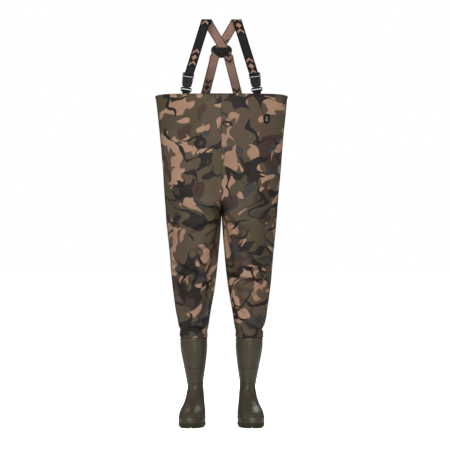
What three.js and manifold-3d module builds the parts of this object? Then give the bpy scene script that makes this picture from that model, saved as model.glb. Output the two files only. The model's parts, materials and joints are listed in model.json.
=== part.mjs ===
// Chest waders: a suspended two-leg garment shell with moulded boots, crossed elastic
// shoulder straps and two side-release buckles on the front hem.
// Millimetres, +Z up. The front faces -Y and the wearer's left side is +X.
// The origin is on the floor, in the middle of the outline's width and depth.

import * as THREE from 'three';
import { mergeVertices } from 'three/addons/utils/BufferGeometryUtils.js';
import Module from 'manifold-3d';

const wasm = await Module();
wasm.setup();

const { degToRad, lerp, smoothstep } = THREE.MathUtils;

// ---------------------------------------------------------------- driving dimensions

const GAP = 0.4; // clearance between neighbouring pieces
const SIDES = { left: 1, right: -1 };

// Coated fabric, cut as front and back panels of each half.
const FABRIC = 1.8;
const HEM_FRONT = 1455;
const HEM_BACK = 1437;
const CROTCH = 927;
const FORK_RISE = 86; // height over which the trunk section parts into two legs
const SEAM_TURN = 0.0006; // half the slit between two panels, as a share of a turn round the section

// The shell is split into stiff stretches, with bending sleeves at the hip and the knee.
const TRUNK_BOTTOM = 1015;
const THIGH_TOP = 865;
const THIGH_BOTTOM = 680;
const SHIN_TOP = 520;
const FABRIC_BOTTOM = 388;
const SPLIT = 0.5; // slit between two stretches

// Boots.
const BOOT_TOP = 412;
const BOOT_WALL = 3;
const SOLE_TOP = 24;
const SOLE_FRONT = 214.5; // toe reach of the outsole in front of the leg axis
const LINING = 1.2;
const INSOLE = 3;
const WELD_BAND = 0.8;

// Trim.
const TAPE = 0.8;
const TAPE_WIDTH = 20;
const TAPE_CLEARANCE = 1.2; // the tape bridges the panels' flat facets
const BINDING = 1.2;
const BINDING_DROP = 6;

// Shoulder straps.
const STRAP_WIDTH = 40;
const STRAP = 1.6;
const STRAP_TOP = 1788;
const FOLD_FLAT = 20; // level stretch on top of the shoulder
const FOLD_X = 67;
const STRAP_END_FRONT = 1604;
const STRAP_SEWN = 44; // length sewn to the back hem
const CROSS_Z = 1678;
const KINK = { x: 30, z: 1627 }; // where a strap leaves the cross patch
const BACK_HEM_X = 84;
const PATCH_Z = 1650;
const PATCH = 1.6;
const PATCH_ROUND = 9;
const PATCH_OUTER = [[12, -30], [38, -16], [48, 0], [45, 16], [32, 28]]; // right half, from the bottom up
const PATCH_INNER = [[9, -27], [32, -8], [36, 6], [30, 19]];

// Buckles.
const BUCKLE_X = 156;
const BUCKLE_RISE = 9; // ring above the hem
const BUCKLE_LEAN = 8; // degrees towards the middle
const RING = { width: 48, height: 21, thick: 5, slotWidth: 40, slotHeight: 6, bar: 8, neck: 26 };
const SOCKET = { mouth: 60, foot: 25, wide: 48, narrow: 40, thick: 11 };
const CAVITY = { width: 37, depth: 6, windowBottom: 35, windowTop: 52.5 };
const LOCK = { width: 50, top: 87, bottom: 62, thick: 5.5 };
const LOCK_SLOTS = { width: 42.5, height: 5, bottoms: [68.5, 77.5] };
const PLUG = { width: 42, thick: 9, top: 67, tongue: 8, tongueThick: 4, tongueEnd: 34 };
const ARM = 4.6;
const ARM_OUTLINE = [
  [11.5, 60.5], [16.5, 60.5], [17.2, 51.5], [22.6, 48], [21.6, 38], [17, 35.6], [13.2, 36.5], [12.4, 50],
];
const LOOP = { width: 34, thick: 1.4, drop: 34, clearance: 1.6 };

// Chest badge: its place on the panel, and the right half of its outline from the bottom up.
const BADGE = { height: 1345, turn: 0.248, thick: 2.5, round: 7 };
const BADGE_OUTLINE = [[13, -15], [17, 10], [10, 21.5]];
const BADGE_TIP = [0, -21.5];

// Grooves across the sole, by their reach in front of the leg axis.
const GROOVES = [-62, 72, 100, 128, 156, 184];
const GROOVE_WIDTH = 6;
const SOLE_FLARE = 2.5;

// Sections of the trunk: height, half width, half depth.
const trunkAt = curveThrough([
  [900, 246, 127],
  [1085, 259, 127],
  [1260, 271, 121],
  [1460, 292, 118],
]);

// Sections of one leg: height, centre, half width, half depth.
const legAt = curveThrough([
  [380, 122.6, 62.5, 72],
  [430, 123, 62.8, 73.5],
  [494, 126, 70, 82],
  [633, 122, 91, 96],
  [772, 121, 103, 110],
  [880, 122, 116, 120],
  [CROTCH, 122, 122, 124],
]);

// Sections of one boot: height, centre, half width at the heel and at the ball,
// reach behind and in front of the leg axis, and squareness of the outline.
const bootAt = curveThrough([
  [0, 120, 40, 55, 78, 211, 2.4],
  [SOLE_TOP, 120, 42, 57, 79, 211, 2.4],
  [49, 120, 43, 59, 79, 205, 2.4],
  [66, 119, 43, 57, 77, 187, 2.3],
  [80, 118, 43, 53, 74, 160, 2.3],
  [95, 117, 41, 48, 71, 130, 2.2],
  [120, 115.5, 38.5, 42, 65, 91, 2.1],
  [144, 115, 36, 38.5, 61, 68, 2],
  [170, 114.5, 34.5, 35, 58, 51, 2],
  [200, 116.5, 37.5, 37.5, 60, 53, 2],
  [258, 118, 47, 47, 64, 60, 2],
  [345, 121.6, 58.5, 58.5, 67.5, 67.5, 2],
  [BOOT_TOP, 122.8, 56.8, 56.8, 66, 66, 2],
]);
const TOE_OUT = 0.08; // sideways shift per unit of reach, fading out over the ankle
const ANKLE_BOTTOM = 110;
const ANKLE_TOP = 180;
const BACK_REACH = 127.45; // deepest point of the seat behind the leg axis

// Leg axes and trunk share one depth, placed so that toe and seat reach equally far.
const BODY_Y = (SOLE_FRONT - BACK_REACH) / 2;

// ---------------------------------------------------------------- geometry helpers

/** Smooth curve through rows of [height, value, ...]: returns a function of height. */
function curveThrough(rows) {
  const slope = (i, k) => {
    const a = rows[Math.max(i - 1, 0)];
    const b = rows[Math.min(i + 1, rows.length - 1)];
    return (b[k] - a[k]) / (b[0] - a[0]);
  };
  return (height) => {
    const last = rows.length - 2;
    const next = rows.findIndex((row) => row[0] >= height);
    const i = next < 0 ? last : Math.min(Math.max(next - 1, 0), last);
    const span = rows[i + 1][0] - rows[i][0];
    const f = Math.min(Math.max((height - rows[i][0]) / span, 0), 1);
    return rows[i].slice(1).map((start, column) => {
      const k = column + 1;
      const end = rows[i + 1][k];
      const ease = f * f * (3 - 2 * f);
      const leave = f * (1 - f) * (1 - f) * span * slope(i, k);
      const arrive = f * f * (f - 1) * span * slope(i + 1, k);
      return lerp(start, end, ease) + leave + arrive;
    });
  };
}

/** Closed geometry from points and triangles, turned so that its faces point out. */
function closedGeometry(points, triangles) {
  const edge1 = new THREE.Vector3();
  const edge2 = new THREE.Vector3();
  const volume = triangles.reduce((sum, [a, b, c]) => {
    edge1.copy(points[a]);
    edge2.crossVectors(points[b], points[c]);
    return sum + edge1.dot(edge2);
  }, 0);
  const facing = volume > 0 ? triangles : triangles.map(([a, b, c]) => [a, c, b]);
  const geometry = new THREE.BufferGeometry().setFromPoints(points);
  geometry.setIndex(facing.flat());
  return geometry;
}

/** Slab whose two faces are grids: place(u, v, w) gives a point, with w 0 on one face and 1 on the other. */
function slab(columns, rows, place) {
  const points = [];
  const triangles = [];
  const at = (w, j, i) => (w * (rows + 1) + j) * (columns + 1) + i;
  const quad = (a, b, c, d) => triangles.push([a, b, c], [a, c, d]);
  for (const w of [0, 1]) {
    for (let j = 0; j <= rows; j += 1) {
      for (let i = 0; i <= columns; i += 1) points.push(place(i / columns, j / rows, w));
    }
  }
  for (let j = 0; j < rows; j += 1) {
    for (let i = 0; i < columns; i += 1) {
      quad(at(0, j, i), at(0, j, i + 1), at(0, j + 1, i + 1), at(0, j + 1, i));
      quad(at(1, j, i), at(1, j + 1, i), at(1, j + 1, i + 1), at(1, j, i + 1));
    }
    quad(at(0, j, 0), at(0, j + 1, 0), at(1, j + 1, 0), at(1, j, 0));
    quad(at(0, j, columns), at(1, j, columns), at(1, j + 1, columns), at(0, j + 1, columns));
  }
  for (let i = 0; i < columns; i += 1) {
    quad(at(0, 0, i), at(1, 0, i), at(1, 0, i + 1), at(0, 0, i + 1));
    quad(at(0, rows, i), at(0, rows, i + 1), at(1, rows, i + 1), at(1, rows, i));
  }
  return closedGeometry(points, triangles);
}

/** Skin over a stack of rings of equal count: capped at both ends, or joined end to end. */
function ringStack(rings, joined = false) {
  const count = rings[0].length;
  const points = rings.flat();
  const triangles = [];
  const steps = joined ? rings.length : rings.length - 1;
  for (let j = 0; j < steps; j += 1) {
    const low = j * count;
    const high = ((j + 1) % rings.length) * count;
    for (let i = 0; i < count; i += 1) {
      const next = (i + 1) % count;
      triangles.push([low + i, low + next, high + next], [low + i, high + next, high + i]);
    }
  }
  if (!joined) {
    for (const [ring, first] of [[rings[0], 0], [rings.at(-1), points.length - count]]) {
      const middle = ring.reduce((sum, p) => sum.add(p), new THREE.Vector3()).divideScalar(count);
      const hub = points.push(middle) - 1;
      for (let i = 0; i < count; i += 1) {
        const pair = [first + i, first + ((i + 1) % count)];
        triangles.push(first === 0 ? [hub, pair[1], pair[0]] : [hub, ...pair]);
      }
    }
  }
  return closedGeometry(points, triangles);
}

function toManifold(geometry) {
  const bare = geometry.clone();
  bare.deleteAttribute('normal');
  bare.deleteAttribute('uv');
  const merged = mergeVertices(bare, 1e-4);
  return new wasm.Manifold(new wasm.Mesh({
    numProp: 3,
    vertProperties: new Float32Array(merged.attributes.position.array),
    triVerts: new Uint32Array(merged.index.array),
  }));
}

/** Joins the first geometry with `added` ones, then takes `removed` ones away. */
function combine(base, added = [], removed = []) {
  const joined = added.reduce((body, g) => body.add(toManifold(g)), toManifold(base));
  const cut = removed.reduce((body, g) => body.subtract(toManifold(g)), joined);
  const mesh = cut.getMesh();
  const geometry = new THREE.BufferGeometry();
  geometry.setAttribute('position', new THREE.BufferAttribute(new Float32Array(mesh.vertProperties), 3));
  geometry.setIndex(Array.from(mesh.triVerts));
  return geometry;
}

/** Outline through corner points, each rounded by the given radius. */
function roundedOutline(corners, radius) {
  const shape = new THREE.Shape();
  corners.forEach((corner, i) => {
    const here = new THREE.Vector2(...corner);
    const towards = (other) => {
      const step = new THREE.Vector2(...other).sub(here);
      return here.clone().add(step.setLength(Math.min(radius, step.length() / 2.2)));
    };
    const enter = towards(corners[(i + corners.length - 1) % corners.length]);
    const leave = towards(corners[(i + 1) % corners.length]);
    if (i === 0) shape.moveTo(enter.x, enter.y);
    else shape.lineTo(enter.x, enter.y);
    shape.quadraticCurveTo(here.x, here.y, leave.x, leave.y);
  });
  shape.closePath();
  return shape;
}

/** Whole outline from the corners of its right half, given from the bottom up. */
function mirrored(half) {
  return [...half, ...half.map(([x, z]) => [-x, z]).reverse()];
}

function rectangleCorners(width, bottom, top) {
  const x = width / 2;
  return [[-x, bottom], [x, bottom], [x, top], [-x, top]];
}

/** Upright plate in the XZ plane, centred on y = 0. */
function plate(shape, thick) {
  const geometry = new THREE.ExtrudeGeometry(shape, {
    depth: thick,
    bevelEnabled: false,
    curveSegments: 4,
  });
  geometry.rotateX(Math.PI / 2);
  geometry.translate(0, thick / 2, 0);
  return geometry;
}

function box(width, depth, bottom, top, x = 0) {
  const geometry = new THREE.BoxGeometry(width, depth, top - bottom);
  geometry.translate(x, 0, (top + bottom) / 2);
  return geometry;
}

// ---------------------------------------------------------------- scene graph

const waders = new THREE.Group();
waders.name = 'chest_waders';

function look(color, roughness, metalness = 0) {
  return new THREE.MeshStandardMaterial({ color, roughness, metalness });
}

const looks = {
  cloth: look(0x574a3b, 0.85),
  tape: look(0x3a3832, 0.6),
  binding: look(0x2e2a24, 0.8),
  webbing: look(0x2b2a29, 0.9),
  patch: look(0x17151a, 0.6),
  plastic: look(0x141415, 0.45),
  boot: look(0x4a4636, 0.42),
  sole: look(0x45422f, 0.55),
  lining: look(0x6b6a5e, 0.95),
};

function addPiece(name, geometry, material, parent = waders) {
  geometry.computeVertexNormals();
  const mesh = new THREE.Mesh(geometry, material);
  mesh.name = name;
  parent.add(mesh);
}

// ---------------------------------------------------------------- garment shell

/**
 * Point of one half's section. `turn` runs 0 to 1 from the front centre, or inseam,
 * round the outer side at 0.5 to the back centre. A negative turn is the other half.
 */
function sectionPoint(turn, height) {
  const t = Math.abs(turn);
  const [halfWidth, halfDepth] = trunkAt(height);
  const [centre, legHalfWidth, legHalfDepth] = legAt(height);
  const parted = 1 - smoothstep(height, CROTCH, CROTCH + FORK_RISE);
  const across = Math.sin(Math.PI * t);
  const facing = Math.cos(Math.PI * t);
  const legX = centre - legHalfWidth * (1 - 2 * across * across);
  const x = lerp(halfWidth * across, legX, parted);
  const swell = 1 + parted * (1 - parted) * (0.95 - 0.75 * parted); // keeps the fullest depth while parting
  const y = -lerp(halfDepth, legHalfDepth, parted) * facing * lerp(1, 2 * across, parted) * swell;
  return new THREE.Vector3(Math.sign(turn || 1) * x, BODY_Y + y, height);
}

/** The section point moved outwards by `out`, square to the section's outline. */
function skinPoint(turn, height, out) {
  const step = 0.001;
  const t = Math.abs(turn);
  const ahead = sectionPoint(t + step, height);
  const behind = sectionPoint(t - step < 0 ? t : t - step, height);
  const along = ahead.sub(behind).normalize();
  const point = sectionPoint(t, height).add(new THREE.Vector3(along.y, -along.x, 0).multiplyScalar(out));
  if (turn < 0) point.x = -point.x;
  return point;
}

function hemHeight(turn) {
  return lerp(HEM_FRONT, HEM_BACK, smoothstep(Math.abs(turn), 0.25, 0.75));
}

/** Panel between two turns. A null top means the hem. */
function addPanel(name, side, [start, end], bottom, top, columns, rows) {
  addPiece(name, slab(columns, rows, (u, v, w) => {
    const turn = lerp(start + SEAM_TURN, end - SEAM_TURN, u);
    const height = lerp(bottom, top ?? hemHeight(turn), v);
    return skinPoint(turn * side, height, w === 0 ? -FABRIC : 0);
  }), looks.cloth);
}

const HALVES = { front: [0, 0.5], back: [0.5, 1] };

for (const [sideName, side] of Object.entries(SIDES)) {
  for (const [face, turns] of Object.entries(HALVES)) {
    const name = (stretch) => `${sideName}_${stretch}${face}_panel`;
    addPanel(name(''), side, turns, TRUNK_BOTTOM, null, 10, 4);
    addPanel(name('hip_'), side, turns, THIGH_TOP + SPLIT, TRUNK_BOTTOM - SPLIT, 10, 4);
    addPanel(name('thigh_'), side, turns, THIGH_BOTTOM, THIGH_TOP, 10, 2);
    addPanel(name('knee_'), side, turns, SHIN_TOP + SPLIT, THIGH_BOTTOM - SPLIT, 10, 2);
    addPanel(name('shin_'), side, turns, FABRIC_BOTTOM, SHIN_TOP, 10, 2);
  }
}

/** Tape welded over a seam on the inside, across `turn`, below the hem binding. */
function addSeamTape(name, turn) {
  const rows = 4;
  const top = hemHeight(turn) - BINDING_DROP - 3;
  addPiece(name, slab(2, rows, (u, v, w) => {
    const height = Math.min(lerp(TRUNK_BOTTOM, hemHeight(turn), v), top);
    const perTurn = sectionPoint(0.5 - Math.abs(0.5 - Math.abs(turn)), height)
      .distanceTo(sectionPoint(0.51 - Math.abs(0.5 - Math.abs(turn)), height)) * 100;
    const across = turn + ((u - 0.5) * TAPE_WIDTH) / perTurn;
    const inside = -(FABRIC + TAPE_CLEARANCE + (w === 0 ? TAPE : 0));
    return skinPoint(across > 1 ? across - 2 : across, height, inside);
  }), looks.tape);
}

addSeamTape('centre_front_seam_tape', 0);
addSeamTape('centre_back_seam_tape', 1);
addSeamTape('left_side_seam_tape', 0.5);
addSeamTape('right_side_seam_tape', -0.5);

/** Folded strip over the hem, as [out, rise] corners of its outer and inner faces. */
function addBinding(name, turnAt) {
  const outer = GAP + BINDING;
  const deep = FABRIC + outer;
  const faces = [
    [[GAP, -BINDING_DROP], [GAP, GAP], [-FABRIC - GAP, GAP], [-FABRIC - GAP, -BINDING_DROP]],
    [[outer, -BINDING_DROP], [outer, outer], [-deep, outer], [-deep, -BINDING_DROP]],
  ];
  addPiece(name, slab(20, 3, (u, v, w) => {
    const turn = turnAt(u);
    const [out, rise] = faces[w][Math.round(v * 3)];
    return skinPoint(turn, hemHeight(turn) + rise, out);
  }), looks.binding);
}

const BINDING_REACH = 0.5 - SEAM_TURN;
addBinding('hem_binding_front', (u) => lerp(-BINDING_REACH, BINDING_REACH, u));
addBinding('hem_binding_back', (u) => {
  const turn = lerp(1 - BINDING_REACH, 1 + BINDING_REACH, u);
  return turn > 1 ? turn - 2 : turn;
});

/** Small moulded badge on the wearer's left breast, laid flat against the curved panel. */
function addChestBadge() {
  const { height, turn, thick } = BADGE;
  const badge = plate(roundedOutline([BADGE_TIP, ...mirrored(BADGE_OUTLINE)], BADGE.round), thick);
  const across = skinPoint(turn + 0.01, height, 0).sub(skinPoint(turn - 0.01, height, 0)).normalize();
  const up = skinPoint(turn, height + 10, 0).sub(skinPoint(turn, height - 10, 0)).normalize();
  const inward = new THREE.Vector3().crossVectors(up, across).normalize();
  const centre = skinPoint(turn, height, 0).addScaledVector(inward, -(2 * GAP + thick / 2));
  badge.applyMatrix4(new THREE.Matrix4().makeBasis(across, inward, up).setPosition(centre));
  addPiece('chest_badge', badge, looks.plastic);
}
addChestBadge();

// ---------------------------------------------------------------- shoulder straps

// Side view of the straps: one tilted plane in front, a level fold, one tilted plane behind.
const frontHem = skinPoint(Math.asin(BUCKLE_X / trunkAt(HEM_FRONT)[0]) / Math.PI, HEM_FRONT, -6);
const foldFront = BODY_Y - FOLD_FLAT / 2;
const foldBack = BODY_Y + FOLD_FLAT / 2;
const foldZ = STRAP_TOP - STRAP / 2;
const FOLD_DROP = 12; // height of the bend on each side of the fold
const FOLD_SPREAD = 8;
const innerEdge = BACK_HEM_X - STRAP_WIDTH; // the strap stays behind the panel's fullest part under it
const sewnSkin = skinPoint(1 - Math.asin(innerEdge / trunkAt(HEM_BACK)[0]) / Math.PI, HEM_BACK - STRAP_SEWN, 0);
const sewnY = sewnSkin.y + 2 * GAP + BINDING + STRAP;
const frontSlope = (foldFront - FOLD_SPREAD - frontHem.y) / (foldZ - FOLD_DROP - HEM_FRONT);
const backSlope = (sewnY - foldBack - FOLD_SPREAD) / (foldZ - FOLD_DROP - HEM_BACK);
const frontY = (z) => frontHem.y + (z - HEM_FRONT) * frontSlope;
const backY = (z) => sewnY - (z - HEM_BACK) * backSlope;
const LAYER = (STRAP + GAP) / 2; // each strap's shift at the crossing

/** Ribbon through stations of { x, y, z, lean }, with every crosswise line level. */
function ribbon(stations, width, thick, side) {
  const last = stations.length - 1;
  return slab(1, last, (u, v, w) => {
    const i = Math.round(v * last);
    const { x, y, z, lean } = stations[i];
    const before = stations[Math.max(i - 1, 0)];
    const after = stations[Math.min(i + 1, last)];
    const legs = [[before, stations[i]], [stations[i], after]].filter(([a, b]) => a !== b);
    const normals = legs.map(([a, b]) => new THREE.Vector2(b.z - a.z, a.y - b.y).normalize());
    const normal = normals.reduce((sum, n) => sum.add(n), new THREE.Vector2()).normalize();
    const miter = 1 / normal.dot(new THREE.Vector2(...legPerpendicular(legs[0])));
    const off = (w - 0.5) * thick * miter;
    const half = width / 2 / Math.cos(degToRad(lean));
    return new THREE.Vector3(side * (x + (u - 0.5) * 2 * half), y + normal.x * off, z + normal.y * off);
  });
}

function legPerpendicular([a, b]) {
  const normal = new THREE.Vector2(b.z - a.z, a.y - b.y).normalize();
  return [normal.x, normal.y];
}

const FRONT_LEAN = 17;
const UPPER_BACK_LEAN = 30;
const LOWER_BACK_LEAN = 14;
const frontX = (z) => FOLD_X + (foldZ - z) * Math.tan(degToRad(FRONT_LEAN));

/** One strap, from above its buckle over the shoulder to the opposite side of the back hem. */
function addShoulderStrap(sideName, side) {
  const layer = side * LAYER;
  const behind = (x, z, lean) => ({ x, y: backY(z) + layer, z, lean });
  const crossing = { x: 0, z: CROSS_Z };
  const bend = foldZ - FOLD_DROP;
  const stations = [
    { x: frontX(STRAP_END_FRONT), y: frontY(STRAP_END_FRONT), z: STRAP_END_FRONT, lean: FRONT_LEAN },
    { x: frontX(bend), y: frontY(bend), z: bend, lean: FRONT_LEAN },
    { x: FOLD_X, y: foldFront, z: foldZ, lean: FRONT_LEAN },
    { x: FOLD_X, y: foldBack, z: foldZ, lean: FRONT_LEAN },
    behind(lerp(FOLD_X, crossing.x, (foldZ - bend) / (foldZ - CROSS_Z)), bend, UPPER_BACK_LEAN),
    behind(crossing.x, crossing.z, UPPER_BACK_LEAN),
    behind(-KINK.x, KINK.z, UPPER_BACK_LEAN),
    behind(-BACK_HEM_X + 8, HEM_BACK + 12, LOWER_BACK_LEAN),
    { x: -BACK_HEM_X, y: sewnY + LAYER + layer, z: HEM_BACK - 6, lean: LOWER_BACK_LEAN },
    { x: -BACK_HEM_X - 9, y: sewnY + LAYER + layer, z: HEM_BACK - STRAP_SEWN, lean: LOWER_BACK_LEAN },
  ];
  addPiece(`${sideName}_shoulder_strap`, ribbon(stations, STRAP_WIDTH, STRAP, side), looks.webbing);
}

/** Doubled-back end of the strap, behind it, held by the buckle's ladder lock. */
function addStrapTail(sideName, side) {
  const low = HEM_FRONT + BUCKLE_RISE + LOCK.top + 2 * GAP;
  const high = STRAP_END_FRONT + 44;
  const behind = STRAP + GAP;
  const station = (z) => ({ x: frontX(z), y: frontY(z) + behind, z, lean: FRONT_LEAN });
  const tail = ribbon([station(low), station(high)], STRAP_WIDTH, STRAP, side);
  addPiece(`${sideName}_strap_tail`, tail, looks.webbing);
}

/** One leather-like layer of the cross patch, square to the back plane. */
function addPatch(name, half, offset) {
  const geometry = plate(roundedOutline(mirrored(half), PATCH_ROUND), PATCH);
  geometry.translate(0, offset, 0);
  geometry.rotateX(Math.atan(backSlope));
  geometry.translate(0, backY(PATCH_Z), PATCH_Z);
  addPiece(name, geometry, looks.patch);
}

const patchOffset = LAYER + STRAP / 2 + GAP + PATCH / 2;
addPatch('cross_patch_outer', PATCH_OUTER, patchOffset);
addPatch('cross_patch_inner', PATCH_INNER, -patchOffset);

// ---------------------------------------------------------------- buckles

function socketGeometry() {
  const ring = roundedOutline(rectangleCorners(RING.width, 0, RING.height), RING.height * 0.4);
  ring.holes.push(roundedOutline(rectangleCorners(RING.slotWidth, RING.bar, RING.bar + RING.slotHeight), 1));
  const neck = box(RING.neck, RING.thick + 2, RING.height - 3, SOCKET.foot + 3);
  const [half, foot] = [SOCKET.wide / 2, SOCKET.narrow / 2];
  const corners = [[-foot, SOCKET.foot], [foot, SOCKET.foot], [half, SOCKET.mouth], [-half, SOCKET.mouth]];
  const body = plate(roundedOutline(corners, 5), SOCKET.thick);
  const cavity = box(CAVITY.width, CAVITY.depth, SOCKET.foot + 3, SOCKET.mouth + 5);
  const windows = box(SOCKET.wide + 10, CAVITY.depth, CAVITY.windowBottom, CAVITY.windowTop);
  return combine(plate(ring, RING.thick), [neck, body], [cavity, windows]);
}

function plugGeometry() {
  const lock = roundedOutline(rectangleCorners(LOCK.width, LOCK.bottom, LOCK.top), 5);
  for (const bottom of LOCK_SLOTS.bottoms) {
    const slot = rectangleCorners(LOCK_SLOTS.width, bottom, bottom + LOCK_SLOTS.height);
    lock.holes.push(roundedOutline(slot, 1.5));
  }
  const base = box(PLUG.width, PLUG.thick, SOCKET.mouth + 1, PLUG.top);
  const tongue = box(PLUG.tongue, PLUG.tongueThick, PLUG.tongueEnd, SOCKET.mouth + 3);
  return combine(plate(lock, LOCK.thick), [base, tongue]);
}

/** Springy latch arm with its barb in the socket's side window. */
function armGeometry(hand) {
  const outline = hand > 0 ? ARM_OUTLINE : ARM_OUTLINE.map(([x, z]) => [-x, z]).reverse();
  return plate(roundedOutline(outline, 1.2), ARM);
}

/** Webbing loop from inside the hem, round the ring's lower bar and back. */
function hemLoopGeometry(side) {
  const barZ = HEM_FRONT + BUCKLE_RISE;
  const wrap = RING.thick / 2 + GAP + LOOP.thick / 2;
  const over = RING.bar + 2 * GAP + LOOP.thick / 2;
  const first = FABRIC + GAP + BINDING + LOOP.clearance + LOOP.thick / 2;
  const second = first + LOOP.thick + LOOP.clearance;
  const stations = [
    { skin: first, z: HEM_FRONT - LOOP.drop },
    { skin: first, z: HEM_FRONT + 1 },
    { ring: -wrap, z: barZ - 2 },
    { ring: -wrap, z: barZ + over },
    { ring: wrap, z: barZ + over },
    { ring: wrap, z: barZ - 2 },
    { skin: second, z: HEM_FRONT - 2 },
    { skin: second, z: HEM_FRONT - LOOP.drop },
  ];
  const last = stations.length - 1;
  const centreAt = (i, x) => {
    const { skin, ring, z } = stations[i];
    if (ring !== undefined) {
      const lift = (x - BUCKLE_X) * Math.tan(degToRad(BUCKLE_LEAN));
      return new THREE.Vector2(frontY(z + lift) + ring, z + lift);
    }
    const turn = Math.asin(x / trunkAt(z)[0]) / Math.PI;
    return new THREE.Vector2(skinPoint(turn, z, -skin).y, z);
  };
  return slab(4, last, (u, v, w) => {
    const i = Math.round(v * last);
    const x = BUCKLE_X + (u - 0.5) * LOOP.width;
    const here = centreAt(i, x);
    const along = centreAt(Math.min(i + 1, last), x).sub(centreAt(Math.max(i - 1, 0), x)).normalize();
    const off = (w - 0.5) * LOOP.thick;
    return new THREE.Vector3(side * x, here.x - along.y * off, here.y + along.x * off);
  });
}

function addBuckle(sideName, side) {
  const frame = new THREE.Group();
  const foot = HEM_FRONT + BUCKLE_RISE;
  frame.position.set(side * BUCKLE_X, frontY(foot), foot);
  frame.rotation.set(-Math.atan(frontSlope), degToRad(-side * BUCKLE_LEAN), 0);
  waders.add(frame);
  addPiece(`${sideName}_buckle_socket`, socketGeometry(), looks.plastic, frame);
  addPiece(`${sideName}_buckle_plug`, plugGeometry(), looks.plastic, frame);
  addPiece(`${sideName}_outer_latch_arm`, armGeometry(side), looks.plastic, frame);
  addPiece(`${sideName}_inner_latch_arm`, armGeometry(-side), looks.plastic, frame);
  addPiece(`${sideName}_hem_loop`, hemLoopGeometry(side), looks.webbing);
}

// ---------------------------------------------------------------- boots

const BOOT_POINTS = 22;

/** Level outline of one boot at a height, moved outwards by `out`. */
function bootRing(side, height, out, at = height) {
  const [centre, heel, ball, back, front, squareness] = bootAt(at);
  const power = 2 / squareness;
  const bend = (value) => Math.sign(value) * Math.abs(value) ** power;
  return Array.from({ length: BOOT_POINTS }, (_, i) => {
    const angle = (2 * Math.PI * i) / BOOT_POINTS;
    const reach = bend(Math.cos(angle));
    const forward = lerp(-back - out, front + out, (1 + reach) / 2);
    const half = lerp(heel, ball, smoothstep((1 + reach) / 2, 0.15, 0.7)) + out;
    const toeOut = TOE_OUT * Math.max(forward, 0) * smoothstep(-at, -ANKLE_TOP, -ANKLE_BOTTOM);
    const x = centre + bend(Math.sin(angle)) * half + toeOut;
    return new THREE.Vector3(side * x, BODY_Y - forward, height);
  });
}

const SHELL_HEIGHTS = [SOLE_TOP + GAP, 38, 50, 60, 70, 82, 98, 116, 140, 170, 200, 258, 345, BOOT_TOP];
const SHELL_FLOOR = SOLE_TOP + GAP + BOOT_WALL + 2;
const LINING_HEIGHTS = SHELL_HEIGHTS.filter((z) => z >= 170);

function bootShell(side) {
  const outer = SHELL_HEIGHTS.map((z) => bootRing(side, z, 0));
  const insideHeights = SHELL_HEIGHTS.filter((z) => z > SHELL_FLOOR).reverse();
  const inner = insideHeights.map((z) => bootRing(side, z, -BOOT_WALL));
  return ringStack([...outer, ...inner, bootRing(side, SHELL_FLOOR, -BOOT_WALL - 3)]);
}

/** Outsole with a raised waist and crosswise grooves under the heel and the ball. */
function bootOutsole(side) {
  const slabTop = ringStack([
    bootRing(side, 6, 1, SOLE_TOP),
    bootRing(side, 14, SOLE_FLARE + 1, SOLE_TOP),
    bootRing(side, SOLE_TOP, SOLE_FLARE, SOLE_TOP),
  ]);
  const tread = ringStack([bootRing(side, 0, -1.5), bootRing(side, 7, 0.5, SOLE_TOP)]);
  const waist = new THREE.BoxGeometry(200, 62, 6);
  waist.translate(side * 120, BODY_Y - 18, 1);
  const grooves = GROOVES.map((forward) => {
    const groove = new THREE.BoxGeometry(200, GROOVE_WIDTH, 4);
    groove.translate(side * 120, BODY_Y - forward, 1);
    return groove;
  });
  return combine(slabTop, [combine(tread, [], [waist, ...grooves])]);
}

function bootInsole(side) {
  const low = SHELL_FLOOR + GAP;
  const inset = -BOOT_WALL - 5;
  return ringStack([bootRing(side, low, inset, 40), bootRing(side, low + INSOLE, inset, 40)]);
}

/** Open sleeve that follows the boot between two heights. */
function sleeve(side, heights, outer, thick) {
  const outside = heights.map((z) => bootRing(side, z, outer));
  const inside = [...heights].reverse().map((z) => bootRing(side, z, outer - thick));
  return ringStack([...outside, ...inside], true);
}

for (const [sideName, side] of Object.entries(SIDES)) {
  addShoulderStrap(sideName, side);
  addStrapTail(sideName, side);
  addBuckle(sideName, side);
  addPiece(`${sideName}_boot_shell`, bootShell(side), looks.boot);
  addPiece(`${sideName}_boot_outsole`, bootOutsole(side), looks.sole);
  addPiece(`${sideName}_boot_insole`, bootInsole(side), looks.lining);
  addPiece(`${sideName}_boot_lining`, sleeve(side, LINING_HEIGHTS, -BOOT_WALL - 2 * GAP, LINING), looks.lining);
  const band = sleeve(side, [FABRIC_BOTTOM + 2, BOOT_TOP - 1], GAP + WELD_BAND, WELD_BAND);
  addPiece(`${sideName}_boot_weld_band`, band, looks.tape);
}

export default waders;
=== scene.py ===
"""Chest waders: the looks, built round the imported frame. Lengths are metres and the front faces -Y."""

import json
import math

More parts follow.
